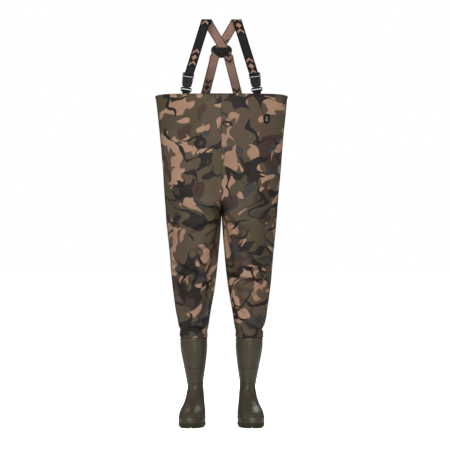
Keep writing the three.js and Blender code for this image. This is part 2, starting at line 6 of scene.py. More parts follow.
import bpy
import numpy as np
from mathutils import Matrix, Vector


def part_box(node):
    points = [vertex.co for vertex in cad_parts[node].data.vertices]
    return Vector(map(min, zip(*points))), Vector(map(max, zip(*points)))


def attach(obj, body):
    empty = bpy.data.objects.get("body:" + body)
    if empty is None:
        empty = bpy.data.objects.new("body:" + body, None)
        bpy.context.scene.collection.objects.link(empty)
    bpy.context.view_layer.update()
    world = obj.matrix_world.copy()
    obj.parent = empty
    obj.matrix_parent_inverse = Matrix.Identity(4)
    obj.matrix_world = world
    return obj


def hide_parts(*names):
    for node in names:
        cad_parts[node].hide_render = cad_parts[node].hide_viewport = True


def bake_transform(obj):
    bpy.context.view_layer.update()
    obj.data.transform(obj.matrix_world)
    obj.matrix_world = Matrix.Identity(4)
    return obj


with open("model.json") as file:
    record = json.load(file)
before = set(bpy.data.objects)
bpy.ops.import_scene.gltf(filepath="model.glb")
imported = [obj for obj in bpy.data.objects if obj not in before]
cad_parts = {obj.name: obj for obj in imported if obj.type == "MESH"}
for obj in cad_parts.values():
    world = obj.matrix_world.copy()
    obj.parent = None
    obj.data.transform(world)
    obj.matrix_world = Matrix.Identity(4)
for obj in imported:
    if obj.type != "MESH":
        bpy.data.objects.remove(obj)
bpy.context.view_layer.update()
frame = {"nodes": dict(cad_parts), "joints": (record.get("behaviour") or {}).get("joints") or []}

MM = 0.001
SIDES = {"left": 1, "right": -1}

# ---------------------------------------------------------------- driving dimensions

FABRIC = 1.8 * MM
HEM_FRONT = 1.455
HEM_BACK = 1.437
CLOTH_BOTTOM = 0.388
CROTCH = 0.927
FORK_RISE = 0.086  # height over which the trunk section parts into two legs
SPLIT_Z = 0.708  # ring where the trunk cloth hands over to the leg cloth
CLOTH_ROW = 6 * MM
CLOTH_COLUMNS = 132
SEAM_EDGES = (2.0, 4.5)  # extra columns beside each seam, in thousandths of a turn

# Trunk sections: height, half width, half depth. Leg sections: height, centre, half width, half depth.
TRUNK_SECTIONS = (
    (0.900, 0.246, 0.127),
    (1.085, 0.259, 0.127),
    (1.260, 0.271, 0.121),
    (1.460, 0.292, 0.118),
)
LEG_SECTIONS = (
    (0.380, 0.1226, 0.0625, 0.0720),
    (0.430, 0.1230, 0.0628, 0.0735),
    (0.494, 0.1260, 0.0700, 0.0820),
    (0.633, 0.1220, 0.0910, 0.0960),
    (0.772, 0.1210, 0.1030, 0.1100),
    (0.880, 0.1220, 0.1160, 0.1200),
    (CROTCH, 0.1220, 0.1220, 0.1240),
)

# Boot sections: height, centre, half widths of heel and ball, reach behind and in front of the leg axis,
# squareness.
BOOT_SECTIONS = (
    (0.000, 0.1200, 0.0400, 0.0550, 0.0780, 0.211, 2.4),
    (0.024, 0.1200, 0.0420, 0.0570, 0.0790, 0.211, 2.4),
    (0.049, 0.1200, 0.0430, 0.0590, 0.0790, 0.205, 2.4),
    (0.066, 0.1190, 0.0430, 0.0570, 0.0770, 0.187, 2.3),
    (0.080, 0.1180, 0.0430, 0.0530, 0.0740, 0.160, 2.3),
    (0.095, 0.1170, 0.0410, 0.0480, 0.0710, 0.130, 2.2),
    (0.120, 0.1155, 0.0385, 0.0420, 0.0650, 0.091, 2.1),
    (0.144, 0.1150, 0.0360, 0.0385, 0.0610, 0.068, 2.0),
    (0.170, 0.1145, 0.0345, 0.0350, 0.0580, 0.051, 2.0),
    (0.200, 0.1165, 0.0375, 0.0375, 0.0600, 0.053, 2.0),
    (0.258, 0.1180, 0.0470, 0.0470, 0.0640, 0.060, 2.0),
    (0.345, 0.1216, 0.0585, 0.0585, 0.0675, 0.0675, 2.0),
    (0.412, 0.1228, 0.0568, 0.0568, 0.0660, 0.066, 2.0),
)
TOE_OUT = 0.08
ANKLE = (0.110, 0.180)
BOOT_TOP = 0.412
BOOT_WALL = 3 * MM
BOOT_POINTS = 120
SOLE_TOP = 0.024
SHAFT_RIBS = (0.257, 0.188)

# Straps and buckles.
STRAP_HALF = 20 * MM
STRAP = 1.6 * MM
STRAP_TOP = 1.788
FOLD_X = 0.067
FOLD_HALF = 10 * MM
FOLD_DROP = 12 * MM
FOLD_SPREAD = 8 * MM
FRONT_LEAN = math.radians(17)
UPPER_BACK_LEAN = math.radians(30)
LOWER_BACK_LEAN = math.radians(14)
CROSS_Z = 1.678
KINK = (0.030, 1.627)
BACK_HEM_X = 0.084
STRAP_SEWN = 44 * MM
STRAP_LAYER = 1.0 * MM
TAIL_TOP = 1.648
MOTIF_PERIOD = 0.195
PATCH_Z = 1.650
PATCH = 1.6 * MM
PATCH_OUTER = ((12, -30), (38, -16), (48, 0), (45, 16), (32, 28))
PATCH_INNER = ((9, -27), (32, -8), (36, 6), (30, 19))
BINDING = (0.4, 1.6, 6.0)  # clearance, outer reach and drop of the hem binding, in mm
GAP = 0.4 * MM


def joint(name):
    return next(j for j in frame["joints"] if j["name"] == name)


BODY_Y = joint("left_hip")["pos_m"][1]

# ---------------------------------------------------------------- numbers


def smoothstep(x, low, high):
    f = np.clip((np.asarray(x, float) - low) / (high - low), 0, 1)
    return f * f * (3 - 2 * f)


def hump(x, centre, width):
    return np.exp(-(((np.asarray(x, float) - centre) / width) ** 2))


def mix(a, b, f):
    return a + (b - a) * f


def unit(vectors):
    return vectors / np.maximum(np.linalg.norm(vectors, axis=-1, keepdims=True), 1e-12)


def curve_through(rows):
    """Smooth curve through rows of (height, value, ...): a function of height that returns the values."""
    table = np.array(rows, float)
    heights, values = table[:, 0], table[:, 1:]
    before = np.maximum(np.arange(len(rows)) - 1, 0)
    after = np.minimum(np.arange(len(rows)) + 1, len(rows) - 1)
    slopes = (values[after] - values[before]) / (heights[after] - heights[before])[:, None]

    def at(height):
        h = np.clip(np.asarray(height, float), heights[0], heights[-1])
        i = np.clip(np.searchsorted(heights, h) - 1, 0, len(rows) - 2)
        span = (heights[i + 1] - heights[i])[..., None]
        f = (h - heights[i])[..., None] / span
        ease = f * f * (3 - 2 * f)
        leave = f * (1 - f) ** 2 * span * slopes[i]
        arrive = f * f * (f - 1) * span * slopes[i + 1]
        return np.moveaxis(mix(values[i], values[i + 1], ease) + leave + arrive, -1, 0)

    return at


trunk_at = curve_through(TRUNK_SECTIONS)
leg_at = curve_through(LEG_SECTIONS)
boot_at = curve_through(BOOT_SECTIONS)


def section_points(turn, height):
    """Points of the left half's section. Turn 0 is the front centre or inseam, 0.5 the side, 1 the back."""
    turn, height = np.broadcast_arrays(np.asarray(turn, float), np.asarray(height, float))
    half_width, half_depth = trunk_at(height)
    centre, leg_width, leg_depth = leg_at(height)
    parted = 1 - smoothstep(height, CROTCH, CROTCH + FORK_RISE)
    across = np.sin(np.pi * turn)
    facing = np.cos(np.pi * turn)
    x = mix(half_width * across, centre - leg_width * (1 - 2 * across * across), parted)
    swell = 1 + parted * (1 - parted) * (0.95 - 0.75 * parted)
    y = -mix(half_depth, leg_depth, parted) * facing * mix(1, 2 * across, parted) * swell
    return np.stack([x, BODY_Y + y, height], axis=-1)


def section_outward(turn, height):
    """Level outward direction of the section."""
    step = 1e-4
    ahead = section_points(np.minimum(turn + step, 1), height)
    along = ahead - section_points(np.maximum(turn - step, 0), height)
    return unit(np.stack([-along[..., 1], along[..., 0], np.zeros_like(along[..., 0])], -1)) * -1


def hem_height(turn):
    return mix(HEM_FRONT, HEM_BACK, smoothstep(turn, 0.25, 0.75))


def mirrored(points, side):
    """The points on this side, from points of the left side."""
    return points * np.array([side, 1.0, 1.0])


def grid_normals(points):
    """Outward normals of a grid whose first index runs round the section and whose second runs up."""
    return unit(np.cross(np.gradient(points, axis=0), np.gradient(points, axis=1)))


def smooth_path(points, step):
    """Even steps along a soft curve through the points."""
    p = np.array(points, float)
    ends = np.vstack([2 * p[0] - p[1], p, 2 * p[-1] - p[-2]])
    fine = []
    for a, b, c, d in zip(ends, ends[1:], ends[2:], ends[3:]):
        for f in np.linspace(0, 1, 24, endpoint=False):
            bent = (2 * a - 5 * b + 4 * c - d) * f**2
            fine.append(0.5 * (2 * b + (c - a) * f + bent + (3 * b - a - 3 * c + d) * f**3))
    fine = np.array(fine + [p[-1]])
    return resample(fine, step)


def resample(path, step):
    reach = np.concatenate([[0], np.cumsum(np.linalg.norm(np.diff(path[:, :3], axis=0), axis=1))])
    at = np.linspace(0, reach[-1], max(2, int(round(reach[-1] / step)) + 1))
    return np.stack([np.interp(at, reach, path[:, k]) for k in range(path.shape[1])], 1)


# ---------------------------------------------------------------- mesh helpers


def make_object(name, points, faces, materials, uvs=None, indices=None, sharp=None):
    mesh = bpy.data.meshes.new(name)
    mesh.from_pydata(np.asarray(points, float).tolist(), [], [list(map(int, f)) for f in faces])
    for material in materials:
        mesh.materials.append(material)
    if uvs is not None:
        layer = mesh.uv_layers.new(name="UVMap")
        layer.data.foreach_set("uv", np.asarray(uvs, np.float32).ravel())
    if indices is not None:
        mesh.polygons.foreach_set("material_index", np.asarray(indices, np.int32))
    mesh.polygons.foreach_set("use_smooth", np.ones(len(mesh.polygons), bool))
    if sharp is not None:
        mesh.set_sharp_from_angle(angle=math.radians(sharp))
    mesh.update()
    obj = bpy.data.objects.new(name, mesh)
    bpy.context.scene.collection.objects.link(obj)
    return obj


def mark_points(obj, name, values):
    """One number at each point, which a material reads by name."""
    layer = obj.data.attributes.new(name, "FLOAT", "POINT")
    layer.data.foreach_set("value", np.asarray(values, np.float32))


def join_parts(parts):
    """One list of points and faces from several."""
    points, faces, count = [], [], 0
    for part_points, part_faces in parts:
        points.append(np.asarray(part_points, float))
        faces += [[i + count for i in face] for face in part_faces]
        count += len(part_points)
    return np.concatenate(points), faces


def sheet(name, outer, normal, uv, thickness, materials, face_shift=None, marks=None):
    """Thin closed sheet from a grid of outer points. The inner face takes the second material, and its rim
    the first.
    """
    columns, rows = outer.shape[:2]
    inner = outer - normal * thickness
    index = np.arange(columns * rows).reshape(columns, rows)
    a, b = index[:-1, :-1].ravel(), index[1:, :-1].ravel()
    c, d = index[1:, 1:].ravel(), index[:-1, 1:].ravel()
    shift = columns * rows
    outside = np.stack([a, b, c, d], 1)
    inside = np.stack([d, c, b, a], 1) + shift
    loop = np.concatenate([index[:-1, 0], index[-1, :-1], index[:0:-1, -1], index[0, :0:-1]])
    after = np.roll(loop, -1)
    rim = np.stack([after, loop, loop + shift, after + shift], 1)
    faces = np.concatenate([outside, inside, rim])
    points = np.concatenate([outer.reshape(-1, 3), inner.reshape(-1, 3)])
    loops_uv = np.concatenate([uv.reshape(-1, 2)] * 2)[faces.ravel()]
    if face_shift is not None:
        column_shift = np.repeat(face_shift, rows - 1)
        loops_uv[: len(outside) * 4, 0] += np.repeat(column_shift, 4)
    kinds = [0] * len(outside) + [1] * len(inside) + [0] * len(rim)
    obj = make_object(name, points, faces, materials, loops_uv, kinds)
    for mark, values in (marks or {}).items():
        mark_points(obj, mark, np.concatenate([values.ravel()] * 2))
    loop_normals = np.concatenate([normal.reshape(-1, 3), -normal.reshape(-1, 3)])[faces.ravel()]
    corner = points[rim]
    flat = unit(np.cross(corner[:, 1] - corner[:, 0], corner[:, 2] - corner[:, 0]))
    loop_normals[(len(outside) + len(inside)) * 4 :] = np.repeat(flat, 4, axis=0)
    obj.data.normals_split_custom_set(loop_normals.tolist())
    return obj


def ring_stack(rings, joined=False):
    """Points and faces of a skin over rings of equal count that run the same way round. It is joined end to
    end or capped at both ends."""
    rings = np.array(rings, float)
    steps, count = rings.shape[:2]
    faces = []
    for j in range(steps if joined else steps - 1):
        low, high = j * count, ((j + 1) % steps) * count
        for i in range(count):
            n = (i + 1) % count
            faces.append([low + i, low + n, high + n, high + i])
    if not joined:
        faces.append(list(range(count))[::-1])
        faces.append(list(range((steps - 1) * count, steps * count)))
    return rings.reshape(-1, 3), faces


# Upper half of a ribbon's section, as shares of its half width and half thickness.
RIBBON_EDGE = ((-1, 0), (-0.97, 0.5), (-0.9, 1))
RIBBON_SECTION = (*RIBBON_EDGE, (-0.45, 1), (0, 1), (0.45, 1), *[(-u, w) for u, w in RIBBON_EDGE[::-1]])


def ribbon_piece(name, centres, across, thickness, materials, start):
    """Webbing along a path. The face that `across` x path points out of takes the first material, the other
    face the second. The map runs across in metres, and along in metres from `start`."""
    centres, across = np.array(centres, float), np.array(across, float)
    along = unit(np.gradient(centres, axis=0))
    normal = unit(np.cross(across, along))
    section = [*RIBBON_SECTION, *[(u, -w) for u, w in RIBBON_SECTION[-2:0:-1]]]
    count = len(section)
    rings = [centres + across * u + normal * (w * thickness / 2) for u, w in section]
    points, faces = ring_stack(np.stack(rings, 1))
    reach = start + np.concatenate([[0], np.cumsum(np.linalg.norm(np.diff(centres, axis=0), axis=1))])
    half = np.linalg.norm(across, axis=1).mean()
    u_at = np.tile([u * half for u, _ in section], len(centres))
    v_at = np.repeat(reach, count)
    uv = [(u_at[i], v_at[i]) for face in faces for i in face]
    outer_faces = len(RIBBON_SECTION) - 1
    kinds = [0 if f % count < outer_faces else 1 for f in range(len(faces) - 2)] + [1, 1]
    return make_object(name, points, faces, materials, uv, kinds, sharp=50)


def rounded_end(f, power, least):
    """Share of its full girth that a bar has at f, from -1 at one end to 1 at the other."""
    return math.sqrt(max(0.0, 1 - f**power)) * (1 - least) + least


def stitches(name, path, normals, material, length=3.2 * MM, pitch=4.4 * MM, radius=0.45 * MM):
    """A row of thread stitches lying on a surface, as one mesh of small capsules."""
    path, normals = np.array(path, float), np.array(normals, float)
    even = resample(np.hstack([path, normals]), pitch)
    places, outs = even[:, :3], unit(even[:, 3:])
    along = unit(np.gradient(places, axis=0))
    parts = []
    for p, out, t in zip(places, outs, along):
        side = np.cross(t, out)
        rings = []
        for f in np.linspace(-1, 1, 6):
            bulge = rounded_end(f, 4, 0.15)
            centre = p + t * f * length / 2 + out * radius * (0.5 * bulge)
            ways = [side * math.cos(a) + out * math.sin(a) for a in np.arange(6) * math.pi / 3]
            rings.append([centre + way * radius * bulge for way in ways])
        parts.append(ring_stack(rings))
    points, faces = join_parts(parts)
    return make_object(name, points, faces, [material])


def soften_edges(obj, width):
    """Welds a CAD node's facets together and rounds its edges, through modifiers."""
    weld = obj.modifiers.new("weld", "WELD")
    weld.merge_threshold = 1e-5
    bevel = obj.modifiers.new("bevel", "BEVEL")
    bevel.width = width
    bevel.segments = 3
    bevel.limit_method = "ANGLE"
    bevel.angle_limit = math.radians(30)
    bevel.harden_normals = False
    smooth = obj.modifiers.new("normals", "WEIGHTED_NORMAL")
    smooth.keep_sharp = True
    obj.data.polygons.foreach_set("use_smooth", np.ones(len(obj.data.polygons), bool))


def dress(name, material):
    """Gives a CAD node its finish."""
    obj = frame["nodes"][name]
    obj.data.materials.clear()
    obj.data.materials.append(material)
    return obj


def finish_piece(obj, body, slot, *nodes):
    """Hides the CAD nodes that the piece stands for and hangs it on the body that carries it. The piece's
    finish, `slot`, is not used.
    """
    if nodes:
        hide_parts(*nodes)
    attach(obj, body)


# ---------------------------------------------------------------- shader helpers


def linear(hex_colour):
    """Linear RGBA from an sRGB hex number."""
    parts = [((hex_colour >> shift) & 255) / 255 for shift in (16, 8, 0)]
    return tuple(p / 12.92 if p <= 0.04045 else ((p + 0.055) / 1.055) ** 2.4 for p in parts) + (1.0,)


class Value:
    """A shader value: arithmetic on it builds Math nodes."""

    def __init__(self, tree, socket):
        self.tree, self.socket = tree, socket

    def math(self, operation, *others):
        node = self.tree.nodes.new("ShaderNodeMath")
        node.operation = operation
        for slot, item in zip(node.inputs, (self, *others)):
            if isinstance(item, Value):
                self.tree.links.new(item.socket, slot)
            else:
                slot.default_value = item
        return Value(self.tree, node.outputs[0])

    def __add__(self, other):
        return self.math("ADD", other)

    def __sub__(self, other):
        return self.math("SUBTRACT", other)

    def __mul__(self, other):
        return self.math("MULTIPLY", other)

    def __abs__(self):
        return self.math("ABSOLUTE")

    def __neg__(self):
        return self.math("MULTIPLY", -1.0)

    def ripple(self, period):
        """A sine wave over the value."""
        return (self * (2 * math.pi / period)).math("SINE")

    def wrap(self, period):
        return self.math("WRAP", period, 0.0)

    def low(self, other):
        return self.math("MINIMUM", other)

    def high(self, other):
        return self.math("MAXIMUM", other)

    def rise(self, edge, blur):
        """0 below the edge and 1 above it, with a soft change of half width `blur`."""
        node = self.tree.nodes.new("ShaderNodeMapRange")
        node.interpolation_type = "SMOOTHSTEP"
        self.tree.links.new(self.socket, node.inputs["Value"])
        node.inputs["From Min"].default_value = edge - blur
        node.inputs["From Max"].default_value = edge + blur
        return Value(self.tree, node.outputs[0])


class Material:
    """A node material with helpers for colour layers, noise and bumps."""

    def __init__(self, name, roughness, specular):
        self.material = bpy.data.materials.new(name)
        self.material.use_nodes = True
        self.tree = self.material.node_tree
        self.shader = self.tree.nodes["Principled BSDF"]
        self.shader.inputs["Roughness"].default_value = roughness
        self.shader.inputs["Specular IOR Level"].default_value = specular
        self.normal = None

    def node(self, kind):
        return self.tree.nodes.new(kind)

    def uv(self):
        return self.node("ShaderNodeUVMap").outputs[0]

    def place(self):
        return self.node("ShaderNodeTexCoord").outputs["Object"]

    def attribute(self, name):
        node = self.node("ShaderNodeAttribute")
        node.attribute_name = name
        return Value(self.tree, node.outputs["Fac"])

    def split(self, vector):
        node = self.node("ShaderNodeSeparateXYZ")
        self.tree.links.new(vector, node.inputs[0])
        return [Value(self.tree, socket) for socket in node.outputs]

    def shift(self, vector, offset, factor=(1, 1, 1), turn=0.0):
        node = self.node("ShaderNodeMapping")
        self.tree.links.new(vector, node.inputs[0])
        node.inputs["Location"].default_value = offset
        node.inputs["Rotation"].default_value = (0, 0, turn)
        node.inputs["Scale"].default_value = factor
        return node.outputs[0]

    def noise(self, vector, scale, detail=2.0, roughness=0.5):
        node = self.node("ShaderNodeTexNoise")
        self.tree.links.new(vector, node.inputs["Vector"])
        node.inputs["Scale"].default_value = scale
        node.inputs["Detail"].default_value = detail
        node.inputs["Roughness"].default_value = roughness
        return Value(self.tree, node.outputs[0])

    def warp(self, vector, scale, amount, detail):
        """The vector pushed about by a noise."""
        noise = self.node("ShaderNodeTexNoise")
        self.tree.links.new(vector, noise.inputs["Vector"])
        noise.inputs["Scale"].default_value = scale
        noise.inputs["Detail"].default_value = detail
        add = self.node("ShaderNodeVectorMath")
        add.operation = "MULTIPLY_ADD"
        self.tree.links.new(noise.outputs["Color"], add.inputs[0])
        add.inputs[1].default_value = (amount, amount, amount)
        self.tree.links.new(vector, add.inputs[2])
        return add.outputs[0]

    def layer(self, below, above, mask):
        """Colour `above` over colour `below` where mask is 1. A colour is a hex number or a socket."""
        node = self.node("ShaderNodeMix")
        node.data_type = "RGBA"
        slots = [s for s in node.inputs if s.type == "RGBA"]
        for item, slot in zip((below, above), slots):
            if isinstance(item, int):
                slot.default_value = linear(item)
            else:
                self.tree.links.new(item, slot)
        self.tree.links.new(mask.socket, node.inputs["Factor"])
        return next(s for s in node.outputs if s.type == "RGBA")

    def rim(self, socket, dark, amount):
        """The colour with darker turned-away edges, as soft front light leaves them."""
        facing = self.node("ShaderNodeLayerWeight")
        facing.inputs["Blend"].default_value = 0.35
        return self.layer(socket, dark, Value(self.tree, facing.outputs["Facing"]).rise(0.62, 0.36) * amount)

    def colour(self, socket):
        self.tree.links.new(socket, self.shader.inputs["Base Color"])

    def roughness(self, value):
        self.tree.links.new(value.socket, self.shader.inputs["Roughness"])

    def bump(self, height, distance, strength):
        node = self.node("ShaderNodeBump")
        node.inputs["Distance"].default_value = distance
        node.inputs["Strength"].default_value = strength
        self.tree.links.new(height.socket, node.inputs["Height"])
        if self.normal is not None:
            self.tree.links.new(self.normal, node.inputs["Normal"])
        self.normal = node.outputs[0]
        self.tree.links.new(self.normal, self.shader.inputs["Normal"])


# ---------------------------------------------------------------- materials


def camo_material():
    """Woodland print on coated cloth: tan blobs, dark branches, slate and brown patches on olive brown."""
    m = Material("camo_cloth", roughness=0.62, specular=0.2)
    uv = m.uv()
    flowing = m.warp(m.warp(uv, 5.0, 0.06, 0.0), 15.0, 0.030, 1.0)

    def field(offset, scale, factor=(1, 1, 1), turn=0.0, detail=0.0):
        return m.noise(m.shift(flowing, (offset, offset * 0.61, 0), factor, turn), scale, detail, 0.5)

    def blob(offset, scale, cut, bite, factor=(1, 1, 1), turn=0.0):
        """A rounded blob with lobes, bitten by a second field so that some ends are pointed."""
        body = field(offset, scale, factor, turn) - cut
        bitten = (field(offset + 3.7, scale * 1.35, factor, turn) - bite) * 0.9
        return body.low(bitten).rise(0.0, 0.004)

    def branch(offset, scale, width, cut, factor=(1, 1, 1), turn=0.0):
        """A winding limb, thick in its middle, that dies away at both ends."""
        line = abs(field(offset, scale, factor, turn, 0.8) - 0.5)
        swell = field(offset + 7.3, 8.5)
        return ((swell - cut) * width - line).rise(0.0, 0.004)

    tone = field(3.1, 4.6).rise(0.55, 0.006)
    base = m.layer(0x594B3C, 0x514735, tone)
    base = m.layer(base, 0x46342E, blob(11.0, 8.0, 0.595, 0.45))
    base = m.layer(base, 0x403D3C, blob(21.0, 8.6, 0.595, 0.46, (1, 1.4, 1)))
    base = m.layer(base, 0xA8866E, blob(8.3, 10.6, 0.606, 0.46, (1, 1.5, 1), 0.6))
    base = m.layer(base, 0xA38069, blob(31.0, 12.6, 0.626, 0.46, (1.5, 1, 1), 0.2))
    base = m.layer(base, 0x241F1D, branch(45.0, 8.2, 0.23, 0.49, (1, 1.3, 1), -0.4))
    base = m.layer(base, 0x221E1D, branch(58.0, 10.5, 0.21, 0.50))
    grime = m.noise(m.shift(uv, (1.0, 2.0, 0)), 3.5, 3.0).rise(0.62, 0.22)
    base = m.layer(base, 0x40372D, grime * 0.3)
    # Painted shade: the cloth darkened in the folds' valleys.
    base = m.layer(base, 0x1F1A16, m.attribute("crease") * 0.7)
    seam_line = (-m.attribute("seam")).rise(-1.1 * MM, 0.5 * MM)
    base = m.layer(base, 0x27211C, seam_line * 0.75)
    m.colour(m.rim(base, 0x15110E, 0.8))
    u, v, _ = m.split(uv)
    m.bump(u.ripple(1.0 * MM) * v.ripple(1.0 * MM), 0.05 * MM, 0.6)
    m.bump(m.noise(uv, 26.0, 4.0, 0.6), 1.4 * MM, 0.35)
    m.roughness(m.noise(uv, 14.0, 2.0) * 0.2 + 0.48)
    return m.material


def cloth_material(name, colour, second, thread=0.8 * MM):
    """Plain woven or knitted cloth."""
    m = Material(name, roughness=0.85, specular=0.25)
    place = m.place()
    m.colour(m.layer(colour, second, m.noise(place, 240.0, 2.0).rise(0.5, 0.15)))
    x, y, z = m.split(place)
    m.bump((x + y).ripple(thread) * z.ripple(thread), 0.1 * MM, 0.6)
    m.roughness(m.noise(place, 30.0, 2.0) * 0.2 + 0.72)
    return m.material


def webbing_materials():
    """Outer and inner faces of the braces: a plain lozenge and chevron motif at even distances."""
    faces = []
    for name in ("webbing_outer", "webbing_inner"):
        outer = name == "webbing_outer"
        m = Material(name, roughness=0.85, specular=0.12)
        uv = m.uv()
        u, v, _ = m.split(uv)
        across = abs(u)
        along = v.wrap(MOTIF_PERIOD)
        cell = 28 * MM
        local = along.wrap(cell) - cell / 2
        in_group = (-along).rise(-3 * cell, 0.3 * MM)
        middle = (along - cell).rise(0.0, 0.2 * MM) * (-along).rise(-2 * cell, 0.2 * MM)
        lozenge = (-(abs(local) + across)).rise(-13 * MM, 0.5 * MM)
        limbs = (-abs(local + across * 0.9 - 7 * MM)).rise(-5.4 * MM, 0.5 * MM)
        chevron = limbs * (-across).rise(-15 * MM, 0.5 * MM)
        shapes = (lozenge * middle).high(chevron * (middle * -1.0 + 1.0)) * in_group
        emblem_place = abs(along - (MOTIF_PERIOD - 19 * MM)) + across
        emblem = (-abs(emblem_place - 9 * MM)).rise(-1.1 * MM, 0.5 * MM)
        ground = (-(along + across * 0.5)).rise(-3.3 * cell, 1.0 * MM)
        edge = across.rise(16.6 * MM, 0.5 * MM)
        dashes = v.ripple(5 * MM).rise(-0.2, 0.3)
        if outer:
            colour = m.layer(0x222120, 0x211714, ground)
            colour = m.layer(colour, 0x9C7D6B, shapes)
            colour = m.layer(colour, 0x5A534C, emblem * 0.5)
            colour = m.layer(colour, 0x100F0E, edge)
        else:
            colour = m.layer(0x9C7B6D, 0x8A7062, ground)
            colour = m.layer(colour, 0x3A2922, shapes)
            colour = m.layer(colour, 0x4A3A33, emblem * 0.6)
            colour = m.layer(colour, 0x2A2320, edge * (dashes * 0.6 + 0.4))
        fade = m.noise(uv, 60.0, 3.0).rise(0.6, 0.2)
        m.colour(m.layer(colour, 0x3A322D, fade * 0.25))
        rib = v.ripple(1.5 * MM)
        twill = (v + across * 0.8).ripple(2.2 * MM)
        m.bump(rib * 0.6 + twill * 0.4, 0.22 * MM, 0.8)
        m.roughness(m.noise(uv, 300.0, 2.0) * 0.2 + 0.7)
        faces.append(m.material)
    return faces


def plain_webbing_material():
    m = Material("webbing_plain", roughness=0.85, specular=0.12)
    uv = m.uv()
    u, v, _ = m.split(uv)
    m.colour(m.layer(0x201F1E, 0x141312, m.noise(uv, 150.0, 3.0).rise(0.5, 0.2)))
    m.bump(v.ripple(1.5 * MM) + u.ripple(2.0 * MM) * 0.5, 0.2 * MM, 0.8)
    m.roughness(m.noise(uv, 200.0, 2.0) * 0.2 + 0.68)
    return m.material


def moulded_material(name, colour, worn, roughness, grain=900.0, depth=0.04 * MM):
    """Moulded plastic or rubber: fine grain, uneven sheen and paler worn edges."""
    m = Material(name, roughness=roughness, specular=0.2)
    place = m.place()
    patches = m.noise(place, 18.0, 4.0, 0.6).rise(0.58, 0.2)
    base = m.layer(colour, worn, patches * 0.35)
    curve = m.node("ShaderNodeNewGeometry")
    wear = Value(m.tree, curve.outputs["Pointiness"]).rise(0.56, 0.06) * 0.35
    m.colour(m.layer(base, worn, wear))
    m.bump(m.noise(place, grain, 2.0), depth, 0.6)
    m.bump(m.noise(place, 26.0, 2.0), 0.6 * MM, 0.12)
    m.roughness(m.noise(place, 40.0, 4.0, 0.65) * 0.22 + (roughness - 0.11))
    return m.material


def boot_material():
    """Satin moulded boot: olive brown, a little dust low down, and painted shade in lines beside the moulded
    ribs and grooves.
    """
    m = Material("boot_rubber", roughness=0.42, specular=0.42)
    place = m.place()
    _, _, z = m.split(place)
    tone = m.noise(place, 9.0, 3.0).rise(0.5, 0.3)
    base = m.layer(0x413A27, 0x47412E, tone)
    dust = (-(z + m.noise(place, 24.0, 3.0) * 0.05)).rise(-0.075, 0.05)
    base = m.layer(base, 0x48412F, dust * 0.5)
    # Painted shade beside the ribs, under the bumper's lip and between the welt lines.
    base = m.layer(base, 0x14120C, m.attribute("crease") * 0.8)
    m.colour(m.rim(base, 0x0F0D08, 0.85))
    m.bump(m.noise(place, 700.0, 2.0), 0.05 * MM, 0.5)
    m.bump(m.noise(m.shift(place, (0, 0, 0), (1, 1, 0.5)), 17.0, 2.0), 1.2 * MM, 0.18)
    m.roughness(m.noise(place, 22.0, 4.0, 0.6) * 0.2 + 0.30)
    return m.material


def leather_material(name, colour, second):
    m = Material(name, roughness=0.5, specular=0.25)
    place = m.place()
    grain = m.node("ShaderNodeTexVoronoi")
    m.tree.links.new(place, grain.inputs["Vector"])
    grain.inputs["Scale"].default_value = 900.0
    m.colour(m.layer(colour, second, m.noise(place, 60.0, 3.0).rise(0.55, 0.2)))
    m.bump(Value(m.tree, grain.outputs["Distance"]), 0.15 * MM, 0.5)
    m.roughness(m.noise(place, 50.0, 3.0) * 0.25 + 0.38)
    return m.material


camo = camo_material()
cloth_inside = cloth_material("cloth_inside", 0x4A473D, 0x3B3931)
knit_lining = cloth_material("boot_lining", 0x7C7A6C, 0x68665A, 1.6 * MM)
tape = moulded_material("seam_tape", 0x3A3831, 0x4A4840, 0.55)
webbing = webbing_materials()
webbing_plain = plain_webbing_material()
thread = cloth_material("thread", 0x2A2724, 0x1D1B19, 0.4 * MM)
pale_thread = cloth_material("thread_pale", 0x6B5A4C, 0x574A3F, 0.4 * MM)
buckle_plastic = moulded_material("buckle_plastic", 0x0C0C0D, 0x1C1C1D, 0.55)
badge_plastic = moulded_material("badge_plastic", 0x121312, 0x262826, 0.45)
badge_mark = moulded_material("badge_mark", 0xB9BEBC, 0xD0D4D2, 0.45)
boot_rubber = boot_material()
sole_rubber = moulded_material("sole_rubber", 0x37331F, 0x45402C, 0.6, 500.0, 0.08 * MM)
patch_leather = leather_material("cross_patch", 0x0E0B0D, 0x151114)

# ---------------------------------------------------------------- garment

CREASE_GIRTH = 0.62  # metres of cloth that one turn of the leg stands for when folds are placed

